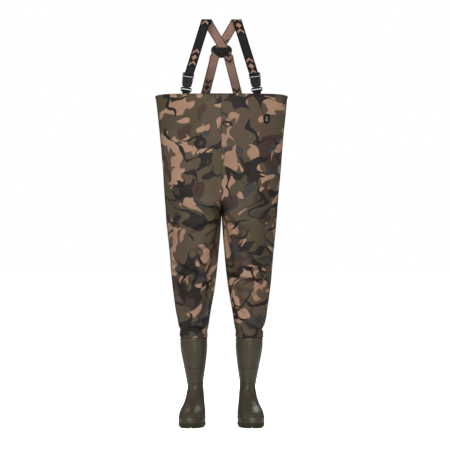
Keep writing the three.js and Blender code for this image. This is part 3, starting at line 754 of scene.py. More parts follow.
# Folds: side, turn and height of each end, depth and half width in mm.
FOLDS = (
    (1, 0.04, 0.655, 0.45, 0.646, 10.0, 8.0),
    (1, 0.20, 0.688, 0.49, 0.712, 7.0, 7.0),
    (1, 0.24, 0.722, 0.46, 0.744, 5.0, 7.0),
    (1, 0.02, 0.486, 0.42, 0.418, 9.0, 8.0),
    (1, 0.08, 0.600, 0.36, 0.585, 5.0, 9.0),
    (1, 0.30, 0.470, 0.48, 0.452, 5.0, 7.0),
    (1, 0.02, 0.908, 0.27, 0.858, 6.0, 10.0),
    (1, 0.30, 0.800, 0.50, 0.765, 4.0, 10.0),
    (1, 0.58, 0.640, 0.96, 0.612, 9.0, 9.0),
    (1, 0.60, 0.688, 0.90, 0.672, 6.0, 9.0),
    (1, 0.55, 0.440, 0.95, 0.472, 8.0, 8.0),
    (1, 0.62, 0.905, 0.97, 0.880, 6.0, 11.0),
    (-1, 0.48, 0.722, 0.10, 0.655, 9.0, 8.0),
    (-1, 0.46, 0.690, 0.22, 0.616, 7.0, 8.0),
    (-1, 0.30, 0.760, 0.05, 0.820, 5.0, 9.0),
    (-1, 0.28, 0.640, 0.05, 0.618, 6.0, 8.0),
    (-1, 0.08, 0.436, 0.46, 0.416, 9.0, 7.0),
    (-1, 0.04, 0.470, 0.32, 0.450, 6.0, 7.0),
    (-1, 0.02, 0.915, 0.30, 0.850, 7.0, 11.0),
    (-1, 0.03, 0.962, 0.24, 0.935, 4.0, 12.0),
    (-1, 0.34, 0.902, 0.50, 0.868, 4.0, 11.0),
    (-1, 0.56, 0.615, 0.95, 0.645, 9.0, 9.0),
    (-1, 0.60, 0.668, 0.92, 0.690, 6.0, 9.0),
    (-1, 0.60, 0.472, 0.94, 0.438, 8.0, 8.0),
    (-1, 0.62, 0.880, 0.97, 0.905, 6.0, 11.0),
)
FOLD_GAIN = 1.25  # how much deeper every fold is than the table says
TACK_TURNS = {"front": 0.394, "side": 0.422}
TACK_DROP = 48 * MM
TACK_CLEAR = 1 * MM
TACK_STITCH = (3 * MM, 2.2 * MM, 1.4 * MM)  # length, pitch and radius
EDGE_SEAM = 0.9 * MM  # what the hem's folded edge counts as its distance from a seam, which darkens it
DRAPE_COLUMNS = 72
DRAPE_ROW = 11 * MM
DRAPE_FRAMES = 30
DRAPE_CAP = 13 * MM
DRAPE_CLOTH = {
    "quality": 4,
    "mass": 0.25,
    "tension_stiffness": 12,
    "compression_stiffness": 12,
    "shear_stiffness": 4,
    "bending_stiffness": 0.6,
    "tension_damping": 8,
    "compression_damping": 8,
    "shear_damping": 8,
    "air_damping": 2,
    "vertex_group_mass": "hold",
    "vertex_group_shrink": "slack",
    "shrink_min": 0.0,
    "shrink_max": -0.05,
    "use_pressure": True,
    "uniform_pressure_force": 0.2,
}
DRAPE_GRAVITY = 0.5
BOOT_SNUG = 1.6 * MM  # how far the cloth may be pressed in where the boot is behind it
FREE_DEPTH = 40 * MM  # the same, more than any fold needs, above the boot


def turn_columns():
    """Even turns round the half, with closer ones beside the seams."""
    near = np.array(SEAM_EDGES) / 1000
    extra = np.concatenate([near, 1 - near, 0.5 - near, 0.5 + near])
    even = np.linspace(0, 1, CLOTH_COLUMNS + 1)
    spaced = [t for t in even if np.min(np.abs(extra - t)) > 0.0018 or t in (0.0, 0.5, 1.0)]
    return np.sort(np.concatenate([spaced, extra]))


def garment_grid(turns, step):
    rows = np.linspace(0, 1, int(round((HEM_FRONT - CLOTH_BOTTOM) / step)) + 1)
    turn = turns[:, None] * np.ones((1, len(rows)))
    height = CLOTH_BOTTOM + rows[None, :] * (hem_height(turn) - CLOTH_BOTTOM)
    return turn, section_points(turn, height), rows


def drape():
    """How far slack cloth settles from the plain section: simulated on a coarse grid that is held at the
    hem, along the centre seams and on the boot."""
    _, points, rows = garment_grid(np.linspace(0, 1, DRAPE_COLUMNS + 1), DRAPE_ROW)
    columns, count = points.shape[:2]
    height = points[..., 2]
    parted = points[0, :, 2] <= CROTCH
    index = np.arange(columns * count).reshape(columns, count)
    index[-1, parted] = index[0, parted]
    used, compact = np.unique(index, return_inverse=True)
    compact = compact.reshape(columns, count)
    corners = [compact[:-1, :-1], compact[1:, :-1], compact[1:, 1:], compact[:-1, 1:]]
    quads = np.stack(corners, -1).reshape(-1, 4)
    obj = make_object("drape", points.reshape(-1, 3)[used], quads, [])
    on_boot = 1 - smoothstep(height, CLOTH_BOTTOM + 0.006, CLOTH_BOTTOM + 0.022)
    hold = np.maximum(smoothstep(height, 1.36, 1.40), on_boot)
    hold[:2, ~parted] = 1
    hold[-2:, ~parted] = 1
    slack = 1 - smoothstep(height, 0.55, 1.05) * 0.85
    for name, weight in (("hold", hold), ("slack", slack)):
        values = np.zeros(len(used))
        np.maximum.at(values, compact.ravel(), weight.ravel())
        group = obj.vertex_groups.new(name=name)
        for i in np.nonzero(values > 0.01)[0]:
            group.add([int(i)], float(values[i]), "REPLACE")
    cloth = obj.modifiers.new("cloth", "CLOTH")
    for name, value in DRAPE_CLOTH.items():
        setattr(cloth.settings, name, value)
    cloth.settings.effector_weights.gravity = DRAPE_GRAVITY
    cloth.collision_settings.use_collision = False
    cloth.point_cache.frame_start = 1
    cloth.point_cache.frame_end = DRAPE_FRAMES
    scene = bpy.context.scene
    scene.frame_end = DRAPE_FRAMES
    for step in range(1, DRAPE_FRAMES + 1):
        scene.frame_set(step)
    evaluated = obj.evaluated_get(bpy.context.evaluated_depsgraph_get())
    settled = np.array([v.co for v in evaluated.data.vertices])[compact.ravel()].reshape(columns, count, 3)
    scene.frame_set(1)
    bpy.data.objects.remove(obj)
    step = settled - points
    length = np.linalg.norm(step, axis=-1, keepdims=True)
    return step * np.tanh(length / DRAPE_CAP) * DRAPE_CAP / np.maximum(length, 1e-9), rows


def spread(field, rows, turns, fine_rows):
    """A coarse field read at the fine grid's turns and rows."""
    coarse_turns = np.linspace(0, 1, field.shape[0])
    lanes = [np.interp(turns, coarse_turns, field[:, j, k]) for j in range(len(rows)) for k in range(3)]
    across = np.stack(lanes, 1).reshape(len(turns), len(rows), 3)
    up = [np.interp(fine_rows, rows, across[i, :, k]) for i in range(len(turns)) for k in range(3)]
    return np.array(up).reshape(len(turns), 3, len(fine_rows)).transpose(0, 2, 1)


def evened(points, rounds):
    """The points with fine ripples evened out and the border kept."""
    result = points.copy()
    for _ in range(rounds):
        ring = result[:-2, 1:-1] + result[2:, 1:-1] + result[1:-1, :-2] + result[1:-1, 2:]
        result[1:-1, 1:-1] = result[1:-1, 1:-1] * 0.5 + ring * 0.125
    return result


def crease_depth(turn, height, side):
    """How far this side's folds push the cloth out, and how much painted shade their valleys get, which
    grows with their depth. Each fold is a valley with a soft roll beside it."""
    total, valley = np.zeros_like(height), np.zeros_like(height)
    for fold_side, turn0, z0, turn1, z1, depth, width in FOLDS:
        if fold_side != side:
            continue
        start = np.array([turn0 * CREASE_GIRTH, z0])
        run = np.array([turn1 * CREASE_GIRTH, z1]) - start
        length = np.linalg.norm(run)
        direction = run / length
        here = np.stack([turn * CREASE_GIRTH, height], -1) - start
        along = here @ direction
        off = here @ np.array([-direction[1], direction[0]])
        off = off - 0.005 * np.sin(along / length * 2 * np.pi + z0 * 40)
        ends = smoothstep(along, -0.01, 0.045) * (1 - smoothstep(along, length - 0.045, length + 0.01))
        roll = hump(off, 1.9 * width * MM, 1.5 * width * MM) * 0.6
        total += (roll - hump(off, 0, width * MM)) * depth * FOLD_GAIN * MM * ends
        valley += hump(off, -0.15 * width * MM, 0.6 * width * MM) * ends * depth / 10
    return total, np.minimum(valley, 1)


def waves(turn, height, side):
    """Shallow upright undulations of the trunk and loose gathers just above the boot."""
    trunk = smoothstep(height, 0.98, 1.1) * (1 - smoothstep(height, 1.36, 1.44))
    trunk = trunk * np.sin(turn * 23 + side * 1.3 + 2.0 * np.sin(height * 6)) * 1.6
    gather = smoothstep(height, CLOTH_BOTTOM, CLOTH_BOTTOM + 0.02) * (1 - smoothstep(height, 0.44, 0.53))
    gather = gather * np.sin(turn * 31 + height * 46 + side) * 1.8
    ends = np.minimum(smoothstep(turn, 0, 0.06), 1 - smoothstep(turn, 0.94, 1))
    snug = 1 - smoothstep(height, CLOTH_BOTTOM, CLOTH_BOTTOM + 0.016)
    return (trunk + gather) * ends * MM - snug * BOOT_SNUG


def seam_distance(turn, points):
    """Length along each section from its start, and the distance to the nearest seam."""
    steps = np.linalg.norm(np.diff(points, axis=0), axis=-1)
    arc = np.concatenate([np.zeros((1, turn.shape[1])), np.cumsum(steps, axis=0)])
    side_arc = np.array([np.interp(0.5, turn[:, 0], arc[:, j]) for j in range(arc.shape[1])])
    return arc, np.minimum(np.minimum(arc, arc[-1] - arc), np.abs(arc - side_arc))


def garment_half(side, settled):
    turns = turn_columns()
    turn, rest, rows = garment_grid(turns, CLOTH_ROW)
    shape = rest.copy()
    if settled is not None:
        field, coarse_rows = settled
        field = field if side > 0 else field[::-1] * np.array([1, -1, 1])
        shape += spread(field, coarse_rows, turns, rows)
    shape = evened(shape, 2)
    outward = grid_normals(rest)
    height = rest[..., 2]
    arc, seam = seam_distance(turn, rest)
    tuck = hump(seam, 0, 2.2 * MM) * 1.1 * MM
    # valley holds the painted shade that darkens the folds' valleys in the cloth's colour.
    folded, valley = crease_depth(turn, height, side)
    lift = folded + waves(turn, height, side) - tuck
    shape = shape + outward * lift[..., None]
    pressed_in = -np.sum((shape - rest) * outward, axis=-1)
    room = BOOT_SNUG + FREE_DEPTH * smoothstep(height, BOOT_TOP + 0.004, BOOT_TOP + 0.034)
    shape += outward * np.maximum(pressed_in - room, 0)[..., None]
    ragged = np.sin(turn * 19 + side) * (3.0 if side < 0 else 1.5) * MM
    shape[..., 2] += ragged * (1 - smoothstep(height, CLOTH_BOTTOM, CLOTH_BOTTOM + 0.05))
    closed = rest[0, :, 2] <= CROTCH
    middle = (shape[0] + shape[-1]) / 2
    shape[0, closed], shape[-1, closed] = middle[closed], middle[closed]
    shape[0, ~closed, 0] = rest[0, ~closed, 0]
    shape[-1, ~closed, 0] = rest[-1, ~closed, 0]
    return turns, turn, shape, np.stack([arc, height], -1), {"seam": seam, "crease": valley}, closed


def joined_normals(normals, closed):
    """The same normals on both edges where a leg closes, and no sideways lean along the centre seams."""
    both = unit(normals[0] + normals[-1])
    for edge in (0, -1):
        normals[edge, closed] = both[closed]
        normals[edge, ~closed] = unit(normals[edge, ~closed] * np.array([0, 1, 1]))
    return normals


def build_garment(side_name, side, settled):
    turns, turn, shape, uv, marks, closed = garment_half(side, settled)
    shape = mirrored(shape, side)
    shift = print_shift((turns[:-1] + turns[1:]) / 2, side)
    if side < 0:
        shape, uv, shift, turn = shape[::-1], uv[::-1], shift[::-1], turn[::-1]
        marks = {name: values[::-1] for name, values in marks.items()}
    normals = joined_normals(grid_normals(shape), closed)
    cut = int(np.argmin(np.abs(shape[0, :, 2] - SPLIT_Z)))
    for part, rows in (("trunk", slice(cut, None)), ("leg", slice(None, cut + 1))):
        obj = sheet(
            f"{side_name}_{part}_cloth",
            shape[:, rows],
            normals[:, rows],
            uv[:, rows],
            FABRIC,
            [camo, cloth_inside],
            shift,
            {name: values[:, rows] for name, values in marks.items()},
        )
        faces = ("front", "back")
        if part == "trunk":
            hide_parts(*[f"{side_name}_{n}{f}_panel" for n in ("", "hip_", "thigh_") for f in faces])
            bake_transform(obj)
        else:
            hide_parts(*[f"{side_name}_{n}{f}_panel" for n in ("knee_", "shin_") for f in faces])
            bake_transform(obj)
    return turn, shape, normals


def seam_tape(name, place, outward, half, node):
    """Welded tape along a seam, from a column of points on the cloth's inner face."""
    across = unit(np.cross(np.array([0, 0, 1.0]), outward))
    lanes = np.linspace(-1, 1, 7)
    grid = np.stack([place + across * (lane * half) - outward * (0.7 * MM * lane * lane) for lane in lanes])
    normal = np.stack([-outward] * len(lanes))[::-1]
    lengths = np.linspace(0, 1, place.shape[0])
    uv = np.stack(np.meshgrid(lanes * half, lengths, indexing="ij"), -1)
    obj = sheet(name, grid[::-1] - outward * 1.2 * MM, normal, uv, 0.7 * MM, [tape, tape])
    finish_piece(obj, "torso", "seam_tape", node)


def build_seam_tapes():
    """Tapes on the inside of the trunk, over the side seams and the two centre seams."""
    for side_name in SIDES:
        turn, shape, normals = halves[side_name]
        lane = int(np.argmin(np.abs(turn[:, 0] - 0.5)))
        rows = (shape[lane, :, 2] > 1.02) & (shape[lane, :, 2] < HEM_BACK - 0.004)
        inner = shape[lane, rows] - normals[lane, rows] * FABRIC
        node = f"{side_name}_side_seam_tape"
        seam_tape(f"{side_name}_side_tape", inner, normals[lane, rows], 10 * MM, node)
    turn, shape, normals = halves["left"]
    for name, lane, facing in (("front", 0, -1.0), ("back", -1, 1.0)):
        rows = (shape[lane, :, 2] > 1.02) & (shape[lane, :, 2] < HEM_BACK - 0.004)
        outward = np.tile([0.0, facing, 0.0], (rows.sum(), 1))
        inner = shape[lane, rows] * np.array([0, 1, 1]) - outward * (FABRIC + 0.6 * MM)
        seam_tape(f"centre_{name}_tape", inner, outward, 10 * MM, f"centre_{name}_seam_tape")


def print_shift(turn, side):
    """Sideways start of the print, different on each panel so that it never meets at a seam."""
    return np.where(turn < 0.5, 11.0, 17.0) + side * 3.3


def hem_arc(turn):
    """Length along the hem from the section's start."""
    turns = np.linspace(0, 1, 400)
    points = section_points(turns, hem_height(turns))
    reach = np.concatenate([[0], np.cumsum(np.linalg.norm(np.diff(points, axis=0), axis=1))])
    return np.interp(turn, turns, reach)


def build_bindings():
    """Folded strip of the same cloth over the hem, with a row of stitches, in a front and a back length."""
    clear, outer, drop = (v * MM for v in BINDING)
    deep = FABRIC + outer
    inset = FABRIC + clear
    soft = 0.5 * MM
    profile = [
        (clear, -drop),
        (outer - soft, -drop),
        (outer, -drop + soft),
        (outer, outer - 2 * soft),
        (outer - 2 * soft, outer),
        (-deep + 2 * soft, outer),
        (-deep, outer - 2 * soft),
        (-deep, -drop + soft),
        (-deep + soft, -drop),
        (-inset, -drop),
        (-inset, clear),
        (clear, clear),
    ]
    for face, (start, end) in {"front": (-0.4994, 0.4994), "back": (0.5006, 1.4994)}.items():
        signed = np.linspace(start, end, 200)
        signed = np.where(signed > 1, signed - 2, signed)
        turn, side = np.abs(signed), np.where(signed < 0, -1.0, 1.0)
        flip = np.stack([side, np.ones_like(side), np.ones_like(side)], 1)
        rings = []
        for out, rise in profile:
            height = hem_height(turn) + rise
            rings.append((section_points(turn, height) + section_outward(turn, height) * out) * flip)
        points, faces = ring_stack(np.stack(rings, 1))
        count = len(profile)
        arc = np.repeat(hem_arc(turn), count)
        shift = np.append(np.repeat(print_shift(turn, side)[:-1], count), [0, 0])
        uvs = [(arc[i] + shift[f], points[i][2]) for f, loop in enumerate(faces) for i in loop]
        obj = make_object(f"hem_edge_{face}", points, faces, [camo], uvs, sharp=40)
        mark_points(obj, "seam", np.tile([EDGE_SEAM if rise > 0 else 1.0 for _, rise in profile], len(turn)))
        finish_piece(obj, "torso", "hem_binding", f"hem_binding_{face}")
        line_height = hem_height(turn) - 0.6 * drop
        outward = section_outward(turn, line_height)
        line = section_points(turn, line_height) + outward * outer
        seam = stitches(f"hem_stitches_{face}", line * flip, outward * flip, thread)
        finish_piece(seam, "torso", "hem_binding")


def build_tacks():
    """Two short tacked lines below the hem, on the front panel beside the wearer's left side seam."""
    turn, shape, normals = halves["left"]
    for name, place in TACK_TURNS.items():
        lane = int(np.argmin(np.abs(turn[:, 0] - place)))
        below = hem_height(place) - shape[lane, :, 2]
        rows = (below > BINDING[2] * MM + TACK_CLEAR) & (below < TACK_DROP)
        piece = stitches(f"{name}_tack", shape[lane, rows], normals[lane, rows], thread, *TACK_STITCH)
        finish_piece(piece, "torso", "hem_binding")


halves = {}
settled_cloth = drape()
for side_name, side in SIDES.items():
    halves[side_name] = build_garment(side_name, side, settled_cloth)
build_seam_tapes()
build_bindings()
build_tacks()

# ---------------------------------------------------------------- buckle frames

ARM_PIVOT = 60 * MM  # height of the latch arms' pivots above the ring's foot


def buckle_frame(side_name):
    """Foot of the buckle's ring and its crosswise, backward and upward directions."""
    outer = Vector(joint(f"{side_name}_outer_squeeze")["pos_m"])
    inner = Vector(joint(f"{side_name}_inner_squeeze")["pos_m"])
    up = Vector(joint(f"{side_name}_buckle_release")["axis"]).normalized()
    across = (outer - inner).normalized() * SIDES[side_name]
    back = up.cross(across).normalized()
    foot = (outer + inner) / 2 - up * ARM_PIVOT
    return [np.array(v) for v in (foot, across, back, up)]


LEFT_FOOT, _, _, LEFT_UP = buckle_frame("left")
FRONT_SLOPE = LEFT_UP[1] / LEFT_UP[2]
FOLD_Z = STRAP_TOP - STRAP / 2


def front_y(z):
    return LEFT_FOOT[1] + (z - LEFT_FOOT[2]) * FRONT_SLOPE


def front_x(z):
    return FOLD_X + (FOLD_Z - z) * math.tan(FRONT_LEAN)


# Back plane of the straps, from the CAD strap's own lowest corner and its fold.
BEND_Z = FOLD_Z - FOLD_DROP
FOLD_BACK = BODY_Y + FOLD_HALF
SEWN_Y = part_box("right_shoulder_strap")[1].y - STRAP / 2 - STRAP_LAYER
BACK_SLOPE = (SEWN_Y - STRAP_LAYER - FOLD_BACK - FOLD_SPREAD) / (BEND_Z - HEM_BACK)


def back_y(z):
    return SEWN_Y - STRAP_LAYER - (z - HEM_BACK) * BACK_SLOPE


# ---------------------------------------------------------------- straps

# The webbing's way through the ladder lock, as (back, up) from the ring's foot, in mm.
LOCK_WAY = (
    *((0.6, 102), (2.4, 95), (3.8, 89), (3.9, 85.2), (3.4, 82.6), (1.8, 80.9), (-1.0, 79.9)),
    *((-3.1, 79.1), (-3.9, 77.3), (-3.9, 74.6), (-3.2, 72.9), (-1.2, 72.2), (1.4, 72.2)),
    *((3.2, 72.5), (4.8, 73.6), (5.6, 75.6), (5.8, 79), (5.8, 89), (4.6, 95), (2.9, 102)),
)
LOCK_LINE = (0.074, 0.090)  # heights above the foot over which the webbing comes into line with the strap
LOCK_TWIST = (0.090, 0.112)  # the same, over which it turns from lying across the buckle to lying level
TAIL_BEHIND = 2.1 * MM
TAIL_START = 14 * MM  # height of the tail's lower end above the lock's uppermost point
MOTIF_AT_FOLD = {"left": 0.090, "right": 0.048}  # place of the shoulder fold along the repeating motif
STRAP_STEP = 1.6 * MM
BOX_STITCH = ((-16, 3), (16, 3), (16, 34), (-16, 34), (-16, 3), (16, 34), (-16, 34), (16, 3))  # in mm
BOX_SLANT = 0.22


def build_strap(side_name, side):
    """One brace: from its loose tail, through the ladder lock and over the shoulder to the other side."""
    foot, across, back, up = buckle_frame(side_name)
    layer = side * STRAP_LAYER
    lock = [foot + back * y * MM + up * z * MM for y, z in LOCK_WAY]
    for point in lock:
        reach = smoothstep(point[2] - foot[2], *LOCK_LINE)
        point[0] = mix(point[0], side * front_x(point[2]), reach)
    low = lock[0][2] + TAIL_START
    heights = np.linspace(TAIL_TOP, low, 8)
    tail = [np.array([side * front_x(z), front_y(z) + TAIL_BEHIND, z]) for z in heights]
    front = [np.array([side * front_x(z), front_y(z), z]) for z in np.linspace(low, BEND_Z, 12)]
    over = [
        (FOLD_X + 0.5 * MM, front_y(BEND_Z) + 5 * MM, FOLD_Z - 3 * MM),
        (FOLD_X, BODY_Y - FOLD_HALF, FOLD_Z),
        (FOLD_X, BODY_Y, FOLD_Z),
        (FOLD_X - 1 * MM, FOLD_BACK, FOLD_Z),
        (FOLD_X - 5 * MM, FOLD_BACK + 5 * MM, FOLD_Z - 5 * MM),
    ]
    reach = FOLD_Z - CROSS_Z
    end_x, end_z = -BACK_HEM_X + 8 * MM, HEM_BACK + 12 * MM
    on_plane = [(FOLD_X * (1 - (FOLD_Z - z) / reach), z) for z in np.linspace(BEND_Z, CROSS_Z, 7)]
    on_plane += [(-KINK[0] * f, CROSS_Z + (KINK[1] - CROSS_Z) * f) for f in (0.33, 0.66, 1.0)]
    on_plane += [(mix(-KINK[0], end_x, f), mix(KINK[1], end_z, f)) for f in np.linspace(0.12, 1, 9)]
    behind = [(x, back_y(z) + layer, z) for x, z in on_plane]
    sewn = [
        (-BACK_HEM_X, SEWN_Y + layer, HEM_BACK - 6 * MM),
        (-BACK_HEM_X - 4.5 * MM, SEWN_Y + layer, HEM_BACK - 24 * MM),
        (-BACK_HEM_X - 9 * MM, SEWN_Y + layer, HEM_BACK - STRAP_SEWN),
    ]
    rear = [mirrored(np.array(p), side) for p in over + behind + sewn]
    path = smooth_path([*tail, *lock[::-1], *front, *rear], STRAP_STEP)
    z, y = path[:, 2], path[:, 1]
    on_back = smoothstep(y, BODY_Y - 4 * MM, BODY_Y + 6 * MM)
    in_lock = 1 - smoothstep(z, foot[2] + LOCK_TWIST[0], foot[2] + LOCK_TWIST[1])
    leaning = mix(1 / math.cos(FRONT_LEAN), 1 / math.cos(UPPER_BACK_LEAN), on_back)
    lower = on_back * (1 - smoothstep(z, KINK[1] - 0.02, KINK[1] + 0.01))
    leaning = mix(leaning, 1 / math.cos(LOWER_BACK_LEAN), lower)
    level = np.array([1.0, 0, 0]) * leaning[:, None]
    crosswise = mix(level, across * np.ones((len(path), 1)), (in_lock * (1 - on_back))[:, None])
    steps = np.linalg.norm(np.diff(path, axis=0), axis=1)
    start = MOTIF_AT_FOLD[side_name] - steps[: int(np.argmax(z))].sum()
    obj = ribbon_piece(f"{side_name}_brace", path, crosswise * STRAP_HALF, STRAP, webbing, start)
    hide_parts(f"{side_name}_shoulder_strap", f"{side_name}_strap_tail")
    return obj, path


def build_straps():
    """Both braces, with a box of stitches where each is sewn to the back hem."""
    for side_name, side in SIDES.items():
        obj, path = build_strap(side_name, side)
        lock_y = LEFT_FOOT[1] + 0.070 * LEFT_UP[1]
        start, end = Vector((0, BODY_Y - FOLD_HALF, 0)), Vector((0, lock_y, 0))
        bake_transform(obj)
        sewn_end = path[-1]
        out = np.array([0, 1.0, 0])
        corners = [np.array([u * MM + z * MM * BOX_SLANT * side, 0, z * MM]) for u, z in BOX_STITCH]
        line = [sewn_end + corner + out * STRAP * 0.55 for corner in corners]
        seam = stitches(f"{side_name}_brace_stitches", line, np.tile(out, (len(line), 1)), pale_thread)
        finish_piece(seam, "torso", "webbing")


# ---------------------------------------------------------------- cross patch


PLATE_RIM = 1.6 * MM
PATCH_CORNER = 9 * MM
PATCH_SEAM = 0.88  # size of the line of stitches beside the patch's outline
STITCH_LIFT = 0.1 * MM


def rounded_loop(half_corners, radius):
    """Closed outline in metres through the mirrored corners, each rounded."""
    right = [np.array(c, float) * MM for c in half_corners]
    corners = right + [c * np.array([-1, 1]) for c in right[::-1]]
    loop = []
    for i, here in enumerate(corners):
        enter, leave = corners[i - 1] - here, corners[(i + 1) % len(corners)] - here
        a = here + enter * min(radius / np.linalg.norm(enter), 0.45)
        b = here + leave * min(radius / np.linalg.norm(leave), 0.45)
        for f in np.linspace(0, 1, 7):
            loop.append((1 - f) ** 2 * a + 2 * f * (1 - f) * here + f * f * b)
    loop.append(loop[0])
    return resample(np.array(loop), 1.5 * MM)[:-1]


def padded_plate(loop, thick):
    """Rings from the back face to the front face of a plate with a rolled edge and a slightly crowned front,
    each with its size, its depth as a share of the thickness and its crown in mm."""
    centre = loop.mean(0)
    rings = []
    scale = np.linalg.norm(loop - centre, axis=1).min()
    edge, roll = 1 - PLATE_RIM / scale, 1 - 0.3 * PLATE_RIM / scale
    shape = [(0.35, 0, 0), (0.75, 0, 0), (edge, 0, 0), (roll, 0.12, 0), (1, 0.5, 0), (roll, 0.88, 0)]
    shape += [(edge, 1, 0), (0.8, 1, 0.15), (0.5, 1, 0.3), (0.2, 1, 0.35)]
    for size, depth, crown in shape:
        flat = centre + (loop - centre) * size
        rings.append(np.stack([flat[:, 0], np.full(len(flat), depth * thick + crown * MM), flat[:, 1]], 1))
    return np.array(rings)


def tilted(points, facing):
    """Patch coordinates laid on the straps' back plane. The facing is -1 for the wearer's side."""
    slope = math.atan(BACK_SLOPE)
    x, y, z = points[..., 0], points[..., 1] * facing, points[..., 2]
    back = y * math.cos(slope) - z * math.sin(slope) + back_y(PATCH_Z)
    up = y * math.sin(slope) + z * math.cos(slope) + PATCH_Z
    return np.stack([x, back, up], -1)


def build_patch():
    """Two leather layers sewn round the crossing."""
    near = STRAP_LAYER + STRAP / 2 + GAP
    for name, half, facing in (("outer", PATCH_OUTER, 1.0), ("inner", PATCH_INNER, -1.0)):
        loop = rounded_loop(half, PATCH_CORNER)
        rings = padded_plate(loop, PATCH)
        rings[..., 1] += near
        rings = tilted(rings, facing)
        order = 1 if facing > 0 else -1
        points, faces = ring_stack(rings[:, ::order])
        obj = make_object(f"cross_{name}_layer", points, faces, [patch_leather], sharp=60)
        finish_piece(obj, "torso", "cross_patch", f"cross_patch_{name}")
        inset = loop.mean(0) + (loop - loop.mean(0)) * PATCH_SEAM
        line = np.stack([inset[:, 0], np.full(len(inset), near + PATCH + STITCH_LIFT), inset[:, 1]], 1)
        line = tilted(np.vstack([line, line[:1]]), facing)
        out = unit(tilted(np.array([0, 1.0, 0]), facing) - tilted(np.zeros(3), facing))
        outs = np.tile(out, (len(line), 1))
        seam = stitches(f"cross_{name}_stitches", line, outs, pale_thread if facing > 0 else thread)
        finish_piece(seam, "torso", "cross_patch")


# ---------------------------------------------------------------- buckles and loops

# Width of the rounding on each node's edges, in mm.
BUCKLE_EDGES = {"buckle_socket": 0.9, "buckle_plug": 0.7, "outer_latch_arm": 0.5, "inner_latch_arm": 0.5}
# Ridges: place across the buckle and up from its foot, half width and half height, in mm.
SOCKET_RIDGES = (*((0, z, 9, 0.8) for z in (40, 43.5, 47, 50.5)), (0, 56.5, 17, 0.7), (0, 29.5, 13, 0.7))
PLUG_RIDGES = ((0, 64.5, 15, 0.6),)


def ridge_boxes(foot, across, back, up, ridges, out, rise):
    """Rounded ridges that lie across the buckle on its face `out` behind the foot."""
    parts = []
    for x, z, wide, tall in ridges:
        rings = []
        for f in np.linspace(-1, 1, 9):
            bulge = rounded_end(f, 6, 0.1)
            centre = foot + across * (x + f * wide) * MM + up * z * MM + back * out
            ring = []
            for a in np.arange(10) * math.pi / 5:
                higher = centre + up * math.cos(a) * tall * MM * bulge
                ring.append(higher + back * math.sin(a) * rise * bulge)
            rings.append(ring)
        parts.append(ring_stack(rings))
    return join_parts(parts)


def build_buckle(side_name):
    """The CAD buckle with rounded edges, and the ridges on its two halves."""
    for node, width in BUCKLE_EDGES.items():
        soften_edges(dress(f"{side_name}_{node}", buckle_plastic), width * MM)
    for name, body, ridges, face, rise in (
        ("socket_ridges", "torso", SOCKET_RIDGES, -5.5 * MM, 0.7 * MM),
        ("plug_ridge", f"{side_name}_plug", PLUG_RIDGES, -4.5 * MM, 0.5 * MM),
    ):
        points, faces = ridge_boxes(*buckle_frame(side_name), ridges, face, rise)
        obj = make_object(f"{side_name}_{name}", points, faces, [buckle_plastic])
        finish_piece(obj, body, "buckle_plastic")


LOOP_HALF = 17 * MM
LOOP_THICK = 1.4 * MM
LOOP_DROP = 34 * MM
LOOP_CLEAR = 1.6 * MM
LOOP_POINTS = 110
LOOP_CORNER = 2.2 * MM
TAPE_LAYER = 1.2 * MM  # room left inside the cloth for the hem's inner fold
RING_BAR = 8 * MM
RING_THICK = 5 * MM


def build_hem_loop(side_name, side):
    """Short webbing loop, sewn inside the hem, that holds the buckle's ring."""
    foot, across, _, _ = buckle_frame("left")
    columns = np.linspace(-1, 1, 11)
    even = np.linspace(0, 1, LOOP_POINTS)
    first = FABRIC + GAP + TAPE_LAYER + LOOP_CLEAR + LOOP_THICK / 2
    second = first + LOOP_THICK + LOOP_CLEAR
    wrap = RING_THICK / 2 + GAP + LOOP_THICK / 2
    over = RING_BAR + 2 * GAP + LOOP_THICK / 2
    paths = []
    for u in columns:
        x = foot[0] + u * LOOP_HALF
        lift = u * LOOP_HALF * across[2]

        def skin(inward, z):
            turn = math.asin(x / trunk_at(z)[0]) / math.pi
            return section_points(turn, z) - section_outward(turn, z) * inward

        def ring(y, z):
            height = foot[2] + z + lift
            return np.array([x, front_y(height) + y, height])

        way = [
            skin(first, HEM_FRONT - LOOP_DROP),
            skin(first, HEM_FRONT - 0.5 * LOOP_DROP),
            skin(first, HEM_FRONT + 1 * MM),
            ring(-wrap, -1 * MM),
            ring(-wrap, over - LOOP_CORNER),
            ring(-wrap * 0.5, over),
            ring(wrap * 0.5, over),
            ring(wrap, over - LOOP_CORNER),
            ring(wrap, -1 * MM),
            skin(second, HEM_FRONT - 2 * MM),
            skin(second, HEM_FRONT - 0.5 * LOOP_DROP),
            skin(second, HEM_FRONT - LOOP_DROP),
        ]
        path = smooth_path(way, 1.2 * MM)
        share = np.linspace(0, 1, len(path))
        paths.append(np.stack([np.interp(even, share, path[:, k]) for k in range(3)], 1))
    grid = np.array(paths)[:, ::-1]
    normal = grid_normals(grid)
    uv = np.stack(np.meshgrid(columns * LOOP_HALF, np.linspace(0, 0.12, LOOP_POINTS), indexing="ij"), -1)
    grid = mirrored(grid + normal * LOOP_THICK / 2, side)
    normal = mirrored(normal, side)
    if side < 0:
        grid, normal, uv = grid[::-1], normal[::-1], uv[::-1]
    obj = sheet(f"{side_name}_ring_loop", grid, normal, uv, LOOP_THICK, [webbing_plain, webbing_plain])
    finish_piece(obj, "torso", "webbing", f"{side_name}_hem_loop")


BADGE_TURN = 0.248  # the badge's place round the section
BADGE_FACE = 1.25 * MM
MARK_LINE = (0.8 * MM, 0.6 * MM)  # half width and rise of the mark's lines
MARK_WAVES = (-3.5, -8.0)  # heights of the waves, in mm
MARK_LOZENGE = ((-5.5, 6), (0, 11.5), (5.5, 6), (0, 0.5), (-5.5, 6))


